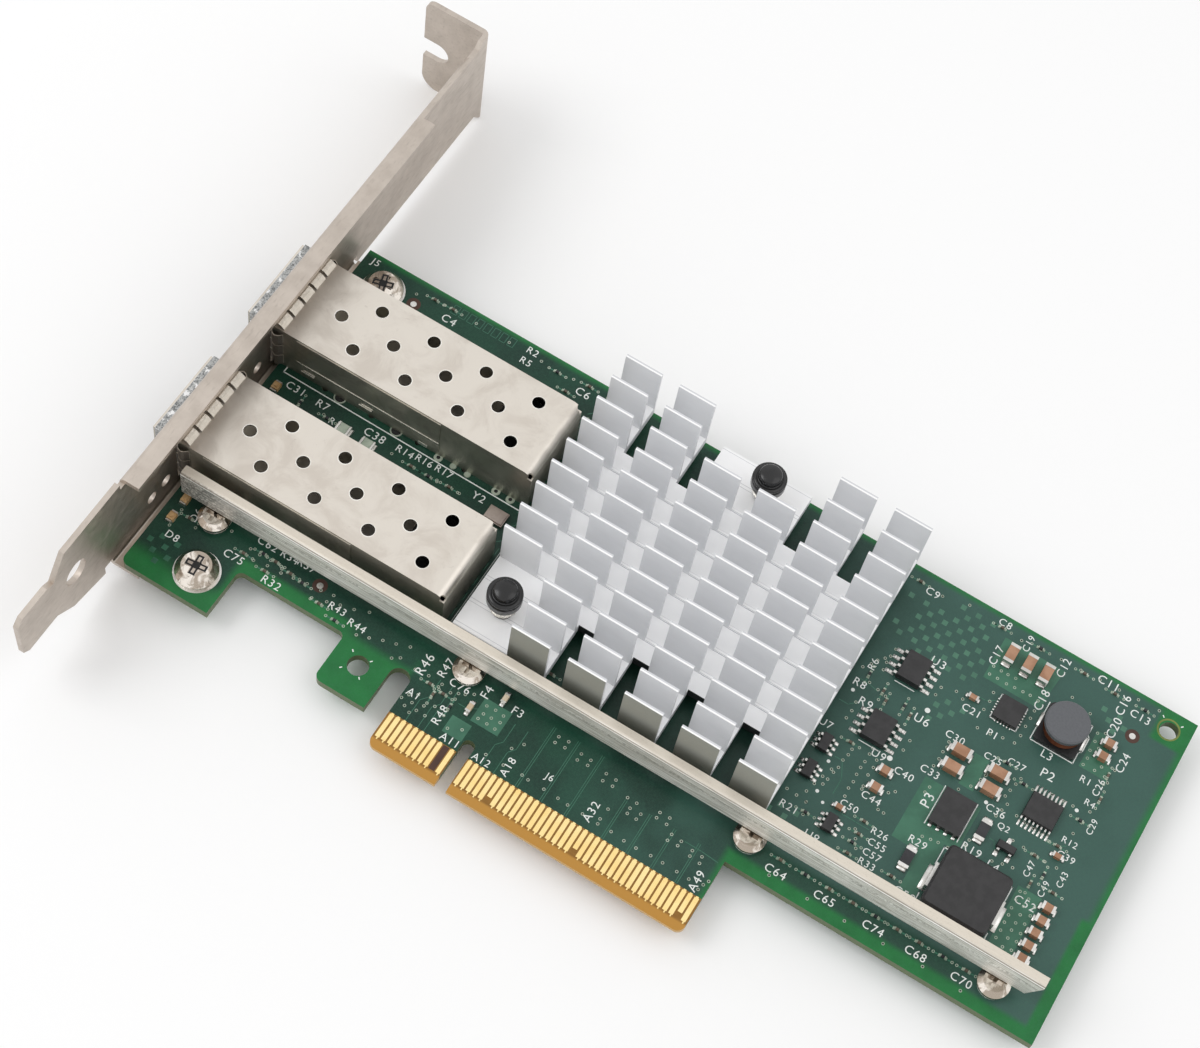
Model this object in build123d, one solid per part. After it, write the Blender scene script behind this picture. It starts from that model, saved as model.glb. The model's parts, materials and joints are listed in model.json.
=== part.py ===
from build123d import *
import os
from math import pi, sin

# A dual-port network interface card, in millimetres.
# X runs along the card away from its bracket, Y from the edge contacts to the top edge, Z up.
# The origin is on the board's top face, at the bottom edge, in the middle of the key notch.

# Card along X: bracket, cages, heat sink, power parts
KEY_TO_BRACKET = 58.12
BRACKET_GAP = 1.32
CAGE_TO_SINK = 1.74
POWER_AREA = 47.69

# Card along Y: contact edge, tab, bar, cages, screw, top edge
TAB_BOTTOM = 4.2
BOARD_LOWER_EDGE = 12.3
BAR_RISE = 5.1
LEG_TO_CAGE = 0.23
LEG_TO_SINK = 0.1
CAGE_SPACING = 9.35
CAGE_TO_SCREW = 5.3
SCREW_TO_TOP = 5.1
SINK_TO_TOP = 1.18

# Circuit board
BOARD_THICKNESS = 1.57
TAB_WIDTH = 14.8
HOOK_WIDTH = 8.5
HOOK_SLOT = 3.25
BOARD_CORNER_RADIUS = 1.2
NOTCH_CORNER_RADIUS = 1.0
HOOK_HOLE_DIAMETER = 3.2
HOOK_HOLE_RISE = 5.0
CORNER_HOLE_DIAMETER = 3.0
CORNER_HOLE_INSET = 3.3

# Edge contacts
CONTACT_PITCH = 1.0
CONTACT_WIDTH = 0.7
CONTACT_THICKNESS = 0.05
CONTACT_START = 1.57
CONTACT_LENGTH = 3.98
CONTACTS_LEFT_OF_KEY = 11
CONTACTS_RIGHT_OF_KEY = 38
KEY_TO_CONTACT = 1.5
KEY_WIDTH = 1.9
KEY_DEPTH = 8.25
EDGE_MARGIN = 0.65
BEVEL_LENGTH = 1.4
BEVEL_DEPTH = 0.45
SHORT_CONTACT_CUT = 0.9
TOP_BARE_CONTACTS = (10,)
TOP_SHORT_CONTACTS = (17, 31, 48)
BOTTOM_SHORT_CONTACTS = (1,)

# Bracket sheet
SHEET = 0.86
INNER_BEND = 0.34
BRACKET_TOP = 104.24
BRACKET_TIP = -15.78
PLATE_DROP = 1.1
TAB_LOW = -4.6
TAB_REACH = 10.5
TAB_CORNER_LOW = 3.0
TAB_CORNER_HIGH = 1.5
TAB_STEP_RUN = 0.9
TAB_RISE_START = 3.4
TAB_RISE_RUN = 1.0
TONGUE_LOW = 2.2
TONGUE_HIGH = 12.3
TONGUE_CORNER = 1.2
TONGUE_HIGH_END = -9.2
TONGUE_SHOULDER = (1.3, 0.6)
TONGUE_HIGH_SLOPE = -4.9
TONGUE_LOW_END = -8.3
TONGUE_LOW_STEP = (3.5, 2.9)
PLATE_LOW_START = 1.8
TONGUE_HOLE_DIAMETER = 4.4
TONGUE_HOLE_RISE = 12.5
TONGUE_HOLE_Z = 7.6
FLANGE_START = 8.8
TOP_TO_FLANGE = 19.84
FLANGE_WIDTH = 3.3
NARROW_FLANGE = 1.25
NARROW_TO_TOP = 6.0
FLANGE_HIGH = 15.97
LEDGE_PAST_SCREW = 2.5
LEDGE_WIDTH = 5.2
EAR_RADIUS = 3.3
SLOT_WIDTH = 4.2
SLOT_CENTRE_Z = 5.1
SLOT_DEPTH = 4.6
RELIEF = 1.0
RELIEF_DEPTH = 0.5

# Bracket screws
SCREW_DIAMETER = 2.9
SCREW_HEAD_DIAMETER = 6.4
SCREW_HEAD_HEIGHT = 2.0
SCREW_END = 1.4
FIT = 0.1
UPPER_SCREW_INSET = 5.6
LOWER_SCREW_INSET = 9.9
LOWER_SCREW_RISE = 4.7

# Port cages
CAGE_WIDTH = 14.2
CAGE_HEIGHT = 9.5
CAGE_SHEET = 0.25
CAGE_NOSE = 3.3
CAGE_LENGTH = 49.2
CAGE_BEND = 1.5
CAGE_CORNER_HOLE = 1.1
OPENING_CLEARANCE_Y = 0.52
OPENING_CLEARANCE_Z = 0.35
OPENING_BELOW = 0.3
VENT_DIAMETER = 2.0
VENT_PITCH = 9.09
VENT_ROW_OFFSET = 3.95
VENT_STAGGER = 4.55
VENT_START = 11.7
VENT_MARGIN = 3.5
CAGE_PIN_WIDTH = 0.8
CAGE_PIN_LENGTH = 2.6
CAGE_PIN_HOLE = 1.05
CAGE_PIN_START = 13.6
CAGE_PIN_PITCH = 8.2
CAGE_PIN_MARGIN = 2.5
LATCH_HOLE = 3.0
LATCH_HOLE_PLACE = 6.5

# Spring collar round each cage nose
COLLAR_SHEET = 0.12
COLLAR_GAP = 0.06
COLLAR_BAND = 1.6
COLLAR_PLACE = 0.4
FINGER_RISE = 0.75
FINGER_START = 0.52
FINGER_REACH = 4.2
FINGER_GAP = 0.5
FINGER_STEPS = 4
TOP_FINGERS = 5
SIDE_FINGERS = 3

# Port connectors inside the cages
PORT_SIDE_GAP = 0.75
PORT_ROOF = 1.3
PORT_LENGTH = 9.5
PORT_SETBACK = 1.2
PORT_FLOOR_GAP = 1.2
PORT_SLOT_WALL = 1.3
PORT_SLOT_HEIGHT = 1.3
PORT_SLOT_DEPTH = 6.0
PORT_SLOT_RISE = 3.0
PORT_CONTACTS = 10
PORT_CONTACT_PITCH = 0.8
PORT_CONTACT_WIDTH = 0.4
PORT_BLADE = 0.25
PORT_BLADE_SETBACK = 1.5
PORT_TAIL_INSET = 0.6

# Chip, pad and heat sink
CHIP_SIZE = 25.0
CHIP_SUBSTRATE = 0.9
CHIP_LID_SIZE = 21.0
CHIP_LID = 0.9
PAD_SIZE = 20.0
PAD_THICKNESS = 0.3
SINK_BASE = 1.9
FIN_HEIGHT = 9.5
FIN_THICKNESS = 0.5
FIN_LENGTH = 6.15
FIN_GAP = 2.97
FIN_COLUMNS = 6
FIN_PITCH = 4.237
BARE_ROWS_LEFT = 3
BARE_ROWS_BACK = 2
STUB_HEIGHT = 0.3
FRONT_SLOT = 9.7
BACK_SLOT = 9.5

# Push pins
LEFT_PIN_INSET = (4.84, 5.78)
BACK_PIN_INSET = (9.0, 3.73)
PIN_HEAD_DIAMETER = 5.2
PIN_HEAD_HEIGHT = 1.9
PIN_RIM = 0.5
PIN_DISH = 0.4
PIN_NUB_DIAMETER = 2.2
PIN_NUB_HEIGHT = 1.2
PIN_SHAFT_DIAMETER = 2.6
PIN_CLEARANCE = 0.35
PIN_BARB_DIAMETER = 3.5
PIN_BARB_LENGTH = 2.3
PIN_BARB_GAP = 0.3
PIN_SLIT = 0.6
PIN_SPRING_SPACE = 3.3
SPRING_WIRE = 0.5
SPRING_TURNS = 2.5
SPRING_GAP = 0.15
SPRING_END_GAP = 0.08
SPRING_SIDES = 4

# Stiffener bar
BAR_SHEET = 0.8
BAR_WEB = 5.5
BAR_OVER_SCREW = 0.3
BAR_DEPTH = 1.6
BAR_LEFT_INSET = 1.4
BAR_RIGHT_INSET = 2.7
BAR_END_SLANT = 1.7
LEG_WIDTH = 4.4
LEG_OFFSET = 3.12
LEG_HEEL = 0.9
END_LEG_INSET = 5.9
SINK_LEG_INSET = 5.34
BAR_SCREW_OFFSET = 0.4
BAR_SCREW_HEAD = 4.84
BAR_SCREW_RISE = 1.1
BAR_SCREW_DIAMETER = 2.4
BAR_SCREW_END = 0.9

# Chip packages: length along X, width along Y, height
SOIC = (3.9, 4.9, 1.5)
SMALL_IC = (1.6, 2.9, 1.1)
TRANSISTOR = (2.9, 1.3, 1.0)
QFN = (4.0, 4.0, 0.85)
POWER_QFN = (5.0, 6.0, 0.9)
TSSOP = (5.0, 4.4, 1.0)
PACKAGE_DRAFT = 0.12
STAND_OFF = 0.1

# Leads: pitch, reach from the body, width
SOIC_LEAD = (1.27, 1.05, 0.42)
SMALL_LEAD = (0.95, 0.6, 0.4)
TSSOP_LEAD = (0.65, 1.0, 0.25)
LEAD_THICKNESS = 0.2

# Inductors
DRUM_BASE = 6.8
DRUM_DIAMETER = 6.8
DRUM_HEIGHT = 4.0
DRUM_FLANGE = 0.9
DRUM_CORE_DIAMETER = 3.4
DRUM_CORNER = 0.5
WINDING_GAP = 0.1
WINDING_INSET = 0.3
WINDING_TURNS = 3
MOULDED_LENGTH = 10.2
MOULDED_WIDTH = 10.0
MOULDED_HEIGHT = 3.9
MOULDED_EDGE = 0.9
MOULDED_TOP_EDGE = 0.35
TERMINAL_WIDTH = 3.9
TERMINAL_SHEET = 0.45
TERMINAL_FOOT = 2.2
TERMINAL_RISE = 2.15

# Chip capacitors and resistors: length, width, height, end cap
SIZE_1206 = (3.2, 1.6, 1.5, 0.5)
SIZE_0805 = (2.0, 1.25, 1.2, 0.4)
SIZE_0603 = (1.6, 0.8, 0.8, 0.3)
RESISTOR_1206 = (3.2, 1.6, 0.55, 0.5)
END_CAP_LIP = 0.03

# Port lights and crystal
LIGHT_SIZE = (1.5, 2.0, 1.7)
LIGHT_INSET = 2.0
LIGHT_SPACING = 3.4
LIGHT_BELOW_CAGE = 3.35
LIGHT_ABOVE_CAGE = 2.05
LIGHT_HOLE_DIAMETER = 2.0
LIGHT_HOLE_Z = 2.6
CRYSTAL_SIZE = (3.2, 2.5, 0.9)
CRYSTAL_INSET = (2.9, 5.25)
CRYSTAL_RIM = 0.2

# Places of the parts near the top edge, measured from the board's right and top edges
UPPER_SOIC = (40.0, 16.0)
UPPER_QFN = (24.95, 14.0)
UPPER_DRUM = (16.95, 12.4)
UPPER_LONG_CAPS = ((28.85, 5.8), (25.85, 5.8), (23.0, 5.8))
UPPER_CAPS = ((10.1, 10.4), (10.1, 12.75))
UPPER_SMALL_CAP = (30.55, 14.9)

# Places of the others, measured from the board's right and lower edges
LOWER_SOIC = (40.05, 29.4)
LOWER_SMALL_ICS = ((45.6, 23.3), (45.65, 18.5), (39.2, 12.9))
LOWER_TRANSISTOR = (15.95, 23.5)
LOWER_POWER_QFN = (24.95, 24.0)
LOWER_TSSOP = (13.9, 31.3)
LOWER_MOULDED = (17.95, 13.5)
LOWER_LONG_CAPS = ((28.2, 32.9), (28.2, 30.0), (22.0, 32.9), (22.0, 30.0))
LOWER_CAPS = ((36.15, 24.2), (36.15, 21.2))
LOWER_SMALL_CAPS = ((9.05, 26.45), (39.15, 15.8))
LOWER_RESISTORS = ((20.0, 24.1), (27.35, 14.5))
CAP_COLUMN = (6.8, 10.0)
CAP_COLUMN_PITCH = 2.15
CAP_COLUMN_COUNT = 5

# Places of the two fuses, measured from the key notch and the board's lower edge
FUSE_PLACES = ((0.6, 3.9), (-2.9, 0.0))

# Heights worked out from the sizes above
BEND_RADIUS = SHEET + INNER_BEND
LEDGE_LOW = -BOARD_THICKNESS - SHEET
PLATE_HIGH = FLANGE_HIGH - PLATE_DROP
SINK_LOW = CHIP_SUBSTRATE + CHIP_LID + PAD_THICKNESS
SINK_TOP = SINK_LOW + SINK_BASE
BAR_LOW = BAR_SHEET + BAR_SCREW_RISE + BAR_OVER_SCREW
BAR_HIGH = BAR_LOW + BAR_WEB
PORT_HEIGHT = PORT_SLOT_RISE + PORT_SLOT_HEIGHT + PORT_ROOF

# Places along Y
BAR_FRONT = BOARD_LOWER_EDGE + BAR_RISE
BAR_SCREW_Y = BAR_FRONT - BAR_SCREW_OFFSET
LOWER_CAGE_LOW = BAR_FRONT + LEG_OFFSET + LEG_TO_CAGE
LOWER_CAGE_HIGH = LOWER_CAGE_LOW + CAGE_WIDTH
UPPER_CAGE_LOW = LOWER_CAGE_HIGH + CAGE_SPACING
UPPER_CAGE_HIGH = UPPER_CAGE_LOW + CAGE_WIDTH
CAGE_CENTRES_Y = (LOWER_CAGE_LOW + CAGE_WIDTH / 2, UPPER_CAGE_LOW + CAGE_WIDTH / 2)
UPPER_SCREW_Y = UPPER_CAGE_HIGH + CAGE_TO_SCREW
BOARD_TOP = UPPER_SCREW_Y + SCREW_TO_TOP
LEDGE_END = UPPER_SCREW_Y + LEDGE_PAST_SCREW
FLANGE_END = BRACKET_TOP - TOP_TO_FLANGE
NARROW_END = BRACKET_TOP - NARROW_TO_TOP
SINK_FRONT = BAR_FRONT + LEG_OFFSET + LEG_TO_SINK
FIN_ROWS = 1 + int((BOARD_TOP - SINK_TO_TOP - FIN_THICKNESS - SINK_FRONT) / FIN_PITCH + 0.05)
SINK_BACK = SINK_FRONT + (FIN_ROWS - 1) * FIN_PITCH + FIN_THICKNESS
LIGHT_PLACES_Y = (
    LOWER_CAGE_LOW - LIGHT_BELOW_CAGE - LIGHT_SPACING,
    LOWER_CAGE_LOW - LIGHT_BELOW_CAGE,
    LOWER_CAGE_HIGH + LIGHT_ABOVE_CAGE,
    LOWER_CAGE_HIGH + LIGHT_ABOVE_CAGE + LIGHT_SPACING,
)

# Places along X
PLATE_INNER = -KEY_TO_BRACKET
PLATE_OUTER = PLATE_INNER - SHEET
BOARD_LEFT = PLATE_INNER + BRACKET_GAP
TAB_RIGHT = BOARD_LEFT + TAB_WIDTH
CONTACTS_LEFT = -KEY_TO_CONTACT - (CONTACTS_LEFT_OF_KEY - 1) * CONTACT_PITCH
CONTACTS_RIGHT = KEY_TO_CONTACT + (CONTACTS_RIGHT_OF_KEY - 1) * CONTACT_PITCH
FINGER_LEFT = CONTACTS_LEFT - EDGE_MARGIN
FINGER_RIGHT = CONTACTS_RIGHT + EDGE_MARGIN
HOOK_RIGHT = FINGER_LEFT - HOOK_SLOT
HOOK_LEFT = HOOK_RIGHT - HOOK_WIDTH
CAGE_FRONT = PLATE_OUTER - CAGE_NOSE
CAGE_REAR = CAGE_FRONT + CAGE_LENGTH
SINK_LEFT = CAGE_REAR + CAGE_TO_SINK
SINK_PITCH = FIN_LENGTH + FIN_GAP
SINK_RIGHT = SINK_LEFT + (FIN_COLUMNS - 1) * SINK_PITCH + FIN_LENGTH
BACK_PAD_LEFT = SINK_LEFT + 2 * SINK_PITCH
BOARD_RIGHT = SINK_RIGHT + POWER_AREA
BAR_LEFT = BOARD_LEFT + BAR_LEFT_INSET
BAR_RIGHT = BOARD_RIGHT - BAR_RIGHT_INSET

# Centres and axes
CHIP_CENTRE = ((SINK_LEFT + SINK_RIGHT) / 2, (SINK_FRONT + SINK_BACK) / 2)
HOOK_HOLE = ((HOOK_LEFT + HOOK_RIGHT) / 2, TAB_BOTTOM + HOOK_HOLE_RISE)
SCREW_AXES = (
    (BOARD_LEFT + UPPER_SCREW_INSET, UPPER_SCREW_Y),
    (BOARD_LEFT + LOWER_SCREW_INSET, TAB_BOTTOM + LOWER_SCREW_RISE),
)
PUSH_PIN_AXES = (
    (SINK_LEFT + LEFT_PIN_INSET[0], SINK_FRONT + LEFT_PIN_INSET[1]),
    (BACK_PAD_LEFT + BACK_PIN_INSET[0], SINK_BACK - BACK_PIN_INSET[1]),
)
BAR_SCREW_AXES = (
    (BAR_LEFT + END_LEG_INSET, BAR_SCREW_Y),
    (SINK_LEFT + SINK_LEG_INSET, BAR_SCREW_Y),
    (SINK_RIGHT, BAR_SCREW_Y),
    (BAR_RIGHT - END_LEG_INSET, BAR_SCREW_Y),
)


def block(x, y, z):
    """A box between the two ends given for each axis."""
    centre = ((x[0] + x[1]) / 2, (y[0] + y[1]) / 2, (z[0] + z[1]) / 2)
    return Pos(*centre) * Box(abs(x[1] - x[0]), abs(y[1] - y[0]), abs(z[1] - z[0]))


def span(centre, size):
    """The two ends of a length set about its centre."""
    return (centre - size / 2, centre + size / 2)


def rod(x, y, diameter, low, high):
    """An upright cylinder."""
    return Pos(x, y, (low + high) / 2) * Cylinder(diameter / 2, high - low)


def rod_x(y, z, diameter, low, high):
    """A cylinder that lies along X."""
    return Pos((low + high) / 2, y, z) * Rot(0, 90, 0) * Cylinder(diameter / 2, high - low)


def rounded(face, corners, radius):
    """The flat face with the named corners rounded."""
    picked = [v for v in face.vertices() if any((v.center() - Vector(*c)).length < 1e-4 for c in corners)]
    return fillet(picked, radius)


def upright(points, low, high):
    """An XY outline raised along Z."""
    return Pos(0, 0, low) * extrude(Polygon(*points, align=None), high - low, dir=(0, 0, 1))


def along_x(points, low, high):
    """A YZ outline drawn out along X."""
    face = Plane.YZ * Polygon(*points, align=None)
    return Pos(low, 0, 0) * extrude(face, high - low, dir=(1, 0, 0))


def along_y(points, low, high):
    """An XZ outline drawn out along Y."""
    face = Plane.XZ * Polygon(*points, align=None)
    return Pos(0, low, 0) * extrude(face, high - low, dir=(0, 1, 0))


def group(solids):
    """Separate solids that share one node."""
    loose = []
    for shape in solids:
        loose.extend(shape.solids())
    return Compound(children=loose)


def by_lower_edge(place):
    """A place given from the board's right and lower edges, in the part's own frame."""
    return BOARD_RIGHT - place[0], BOARD_LOWER_EDGE + place[1]


def by_top_edge(place):
    """A place given from the board's right and top edges, in the part's own frame."""
    return BOARD_RIGHT - place[0], BOARD_TOP - place[1]


# Circuit board

def board_outline():
    """The board's face: body, bracket tab, hook and contact tongue, with their rounded corners."""
    body = Pos((BOARD_LEFT + BOARD_RIGHT) / 2, (BOARD_LOWER_EDGE + BOARD_TOP) / 2) * Rectangle(
        BOARD_RIGHT - BOARD_LEFT, BOARD_TOP - BOARD_LOWER_EDGE
    )
    foot_left = Polygon(
        (BOARD_LEFT, TAB_BOTTOM),
        (TAB_RIGHT, TAB_BOTTOM),
        (TAB_RIGHT, BOARD_LOWER_EDGE + 1),
        (BOARD_LEFT, BOARD_LOWER_EDGE + 1),
        align=None,
    )
    hook = Polygon(
        (HOOK_LEFT, TAB_BOTTOM),
        (HOOK_RIGHT, TAB_BOTTOM),
        (HOOK_RIGHT, BOARD_LOWER_EDGE + 1),
        (HOOK_LEFT, BOARD_LOWER_EDGE + 1),
        align=None,
    )
    tongue = Polygon(
        (FINGER_LEFT, 0),
        (FINGER_RIGHT, 0),
        (FINGER_RIGHT, BOARD_LOWER_EDGE + 1),
        (FINGER_LEFT, BOARD_LOWER_EDGE + 1),
        align=None,
    )
    face = body + foot_left + hook + tongue
    slot_radius = HOOK_SLOT / 2 - 0.05
    face = rounded(face, [(HOOK_RIGHT, BOARD_LOWER_EDGE), (FINGER_LEFT, BOARD_LOWER_EDGE)], slot_radius)
    inner = [(TAB_RIGHT, BOARD_LOWER_EDGE), (HOOK_LEFT, BOARD_LOWER_EDGE)]
    face = rounded(face, inner, NOTCH_CORNER_RADIUS)
    outer = [(FINGER_LEFT, 0), (FINGER_RIGHT, 0), (BOARD_LEFT, TAB_BOTTOM), (HOOK_LEFT, TAB_BOTTOM)]
    face = rounded(face, outer, BOARD_CORNER_RADIUS)
    key_straight = KEY_DEPTH - KEY_WIDTH / 2
    key = Pos(0, key_straight / 2) * Rectangle(KEY_WIDTH, key_straight) + Pos(0, key_straight) * Circle(
        KEY_WIDTH / 2
    )
    return face - key


def board_holes():
    """Every hole drilled through the board."""
    low = -BOARD_THICKNESS - 1
    holes = [rod(*HOOK_HOLE, HOOK_HOLE_DIAMETER, low, 1)]
    corner = (BOARD_RIGHT - CORNER_HOLE_INSET, BOARD_TOP - CORNER_HOLE_INSET)
    holes.append(rod(*corner, CORNER_HOLE_DIAMETER, low, 1))
    holes += [rod(x, y, SCREW_DIAMETER + 2 * FIT, low, 1) for x, y in SCREW_AXES]
    holes += [rod(x, y, BAR_SCREW_DIAMETER + 2 * FIT, low, 1) for x, y in BAR_SCREW_AXES]
    holes += [rod(x, y, PIN_SHAFT_DIAMETER + 2 * PIN_CLEARANCE, low, 1) for x, y in PUSH_PIN_AXES]
    holes += [small_hole(x, y, CAGE_PIN_HOLE, 8, low, 1) for x, y in cage_pin_axes()]
    return holes


def small_hole(x, y, diameter, sides, low, high):
    """An upright prism with flat sides, for the small holes that repeat."""
    face = Pos(x, y, low) * RegularPolygon(diameter / 2, sides)
    return extrude(face, high - low, dir=(0, 0, 1))


def make_board():
    """The board with its holes and the bevelled lower edge."""
    board = Pos(0, 0, -BOARD_THICKNESS) * extrude(board_outline(), BOARD_THICKNESS)
    board -= board_holes()
    run = (FINGER_LEFT - 1, FINGER_RIGHT + 1)
    drop = BEVEL_DEPTH * (BEVEL_LENGTH + 1) / BEVEL_LENGTH
    top_cut = [(BEVEL_LENGTH, 0), (BEVEL_LENGTH, 1), (-1, 1), (-1, -drop)]
    board -= along_x(top_cut, *run)
    bottom_cut = [(y, -BOARD_THICKNESS - z) for y, z in top_cut]
    return board - along_x(bottom_cut, *run)


def contact_places():
    """The X place of each contact, in order from the bracket."""
    left = [CONTACTS_LEFT + i * CONTACT_PITCH for i in range(CONTACTS_LEFT_OF_KEY)]
    right = [KEY_TO_CONTACT + i * CONTACT_PITCH for i in range(CONTACTS_RIGHT_OF_KEY)]
    return left + right


def make_contacts(low, missing, short):
    """The plated strips on one face; missing and short name contacts by their number."""
    strips = []
    for number, x in enumerate(contact_places(), 1):
        if number in missing:
            continue
        start = CONTACT_START + (SHORT_CONTACT_CUT if number in short else 0)
        strips.append(
            block(span(x, CONTACT_WIDTH), (start, CONTACT_START + CONTACT_LENGTH), (low, low + CONTACT_THICKNESS))
        )
    return group(strips)


# Bracket

def plate_outline():
    """The bracket's outline in YZ, with tongue, relief notches and the step under the tab."""
    fold_low = LEDGE_LOW + BEND_RADIUS
    fold_high = FLANGE_HIGH - BEND_RADIUS
    tab_start = BRACKET_TOP - BEND_RADIUS
    step = LEDGE_LOW - TAB_LOW
    rise = BRACKET_TOP - TAB_RISE_START
    shoulder = TONGUE_HIGH_END + TONGUE_SHOULDER[0]
    plate_low_end = TAB_BOTTOM - PLATE_LOW_START
    return [
        (BRACKET_TIP, TONGUE_LOW + TONGUE_CORNER),
        (BRACKET_TIP, TONGUE_HIGH - TONGUE_CORNER),
        (BRACKET_TIP + TONGUE_CORNER, TONGUE_HIGH),
        (TONGUE_HIGH_END, TONGUE_HIGH),
        (shoulder, TONGUE_HIGH - TONGUE_SHOULDER[1]),
        (TONGUE_HIGH_SLOPE, FLANGE_HIGH),
        (FLANGE_START - RELIEF, FLANGE_HIGH),
        (FLANGE_START - RELIEF, fold_high),
        (NARROW_END, fold_high),
        (NARROW_END, PLATE_HIGH),
        (rise, PLATE_HIGH),
        (rise + TAB_RISE_RUN, FLANGE_HIGH),
        (BRACKET_TOP, FLANGE_HIGH),
        (BRACKET_TOP, TAB_LOW),
        (tab_start, TAB_LOW),
        (tab_start - TAB_STEP_RUN * step, LEDGE_LOW),
        (LEDGE_END + RELIEF, LEDGE_LOW),
        (LEDGE_END + RELIEF, fold_low + RELIEF_DEPTH),
        (LEDGE_END, fold_low + RELIEF_DEPTH),
        (LEDGE_END, fold_low),
        (TAB_BOTTOM, fold_low),
        (TAB_BOTTOM, fold_low + RELIEF_DEPTH),
        (plate_low_end, fold_low + RELIEF_DEPTH),
        (plate_low_end, LEDGE_LOW),
        (TONGUE_LOW_END + TONGUE_LOW_STEP[0], TONGUE_LOW - TONGUE_LOW_STEP[1]),
        (TONGUE_LOW_END, TONGUE_LOW),
        (BRACKET_TIP + TONGUE_CORNER, TONGUE_LOW),
    ]


def folded_strip(face_points, outer, inner):
    """A bent sheet's section with the outer and inner corners of its fold rounded."""
    face = Polygon(*face_points, align=None)
    face = rounded(face, [outer], BEND_RADIUS)
    return rounded(face, [inner], BEND_RADIUS - SHEET)


def bracket_plate():
    """The plate and the top tab, bent from one strip, cut to the outline."""
    reach = PLATE_OUTER - TAB_REACH
    under_tab = BRACKET_TOP - SHEET
    section = folded_strip(
        [
            (PLATE_INNER, BRACKET_TIP - 1),
            (PLATE_INNER, BRACKET_TOP),
            (reach, BRACKET_TOP),
            (reach, under_tab),
            (PLATE_OUTER, under_tab),
            (PLATE_OUTER, BRACKET_TIP - 1),
        ],
        (PLATE_INNER, BRACKET_TOP),
        (PLATE_OUTER, under_tab),
    )
    strip = Pos(0, 0, TAB_LOW - 1) * extrude(section, FLANGE_HIGH - TAB_LOW + 2)
    return strip & along_x(plate_outline(), reach - 1, PLATE_INNER + 1)


def edge_fold(edge_z, inward, width, start, end):
    """A strip folded inward along the plate's high or low edge; inward is the way into the sheet."""
    root = edge_z + inward * (BEND_RADIUS + 0.4)
    section = folded_strip(
        [
            (PLATE_OUTER, root),
            (PLATE_OUTER, edge_z),
            (PLATE_OUTER + width, edge_z),
            (PLATE_OUTER + width, edge_z + inward * SHEET),
            (PLATE_INNER, edge_z + inward * SHEET),
            (PLATE_INNER, root),
        ],
        (PLATE_OUTER, edge_z),
        (PLATE_INNER, edge_z + inward * SHEET),
    )
    return Pos(0, start, 0) * extrude(Plane.XZ * section, end - start, dir=(0, 1, 0))


def ledge_ear(axis):
    """A lobe of the ledge that reaches under the board to a bracket screw."""
    x, y = axis
    reach = block((PLATE_OUTER + BEND_RADIUS, x), span(y, 2 * EAR_RADIUS), (LEDGE_LOW, -BOARD_THICKNESS))
    return reach + rod(x, y, 2 * EAR_RADIUS, LEDGE_LOW, -BOARD_THICKNESS)


def tab_cut():
    """The open screw slot and the rounded outer corners of the top tab."""
    end = PLATE_OUTER - TAB_REACH
    low, high = BRACKET_TOP - SHEET - 1, BRACKET_TOP + 1
    slot_end = end + SLOT_DEPTH - SLOT_WIDTH / 2
    points = [(end - 1, SLOT_CENTRE_Z - SLOT_WIDTH / 2), (slot_end, SLOT_CENTRE_Z - SLOT_WIDTH / 2)]
    points += [(slot_end, SLOT_CENTRE_Z + SLOT_WIDTH / 2), (end - 1, SLOT_CENTRE_Z + SLOT_WIDTH / 2)]
    round_end = Pos(slot_end, (low + high) / 2, SLOT_CENTRE_Z) * Rot(90, 0, 0) * Cylinder(
        SLOT_WIDTH / 2, high - low
    )
    return along_y(points, low, high) + round_end


def make_bracket():
    """The folded bracket with its tab, flange, ledge, ears and openings."""
    plate = bracket_plate()
    end = PLATE_OUTER - TAB_REACH
    corners = [e for e in plate.edges().filter_by(Axis.Y) if abs(e.center().X - end) < 1e-3]
    plate = fillet(min(corners, key=lambda e: e.center().Z), TAB_CORNER_LOW)
    corners = [e for e in plate.edges().filter_by(Axis.Y) if abs(e.center().X - end) < 1e-3]
    plate = fillet(max(corners, key=lambda e: e.center().Z), TAB_CORNER_HIGH)
    bracket = plate + edge_fold(FLANGE_HIGH, -1, FLANGE_WIDTH, FLANGE_START, FLANGE_END)
    bracket += edge_fold(FLANGE_HIGH, -1, NARROW_FLANGE, FLANGE_END, NARROW_END)
    bracket += edge_fold(LEDGE_LOW, 1, LEDGE_WIDTH, TAB_BOTTOM, LEDGE_END)
    for axis in SCREW_AXES:
        bracket += ledge_ear(axis)
    for x, y in SCREW_AXES:
        bracket -= rod(x, y, SCREW_DIAMETER + FIT, LEDGE_LOW - 1, 0)
    bracket -= tab_cut()
    through = (PLATE_OUTER - 1, PLATE_INNER + 1)
    for centre in CAGE_CENTRES_Y:
        width = CAGE_WIDTH + 2 * OPENING_CLEARANCE_Y
        bracket -= block(through, span(centre, width), (-OPENING_BELOW, CAGE_HEIGHT + OPENING_CLEARANCE_Z))
    for y in LIGHT_PLACES_Y:
        bracket -= rod_x(y, LIGHT_HOLE_Z, LIGHT_HOLE_DIAMETER, *through)
    tongue_hole_y = BRACKET_TIP + TONGUE_HOLE_RISE
    return bracket - rod_x(tongue_hole_y, TONGUE_HOLE_Z, TONGUE_HOLE_DIAMETER, *through)


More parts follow.
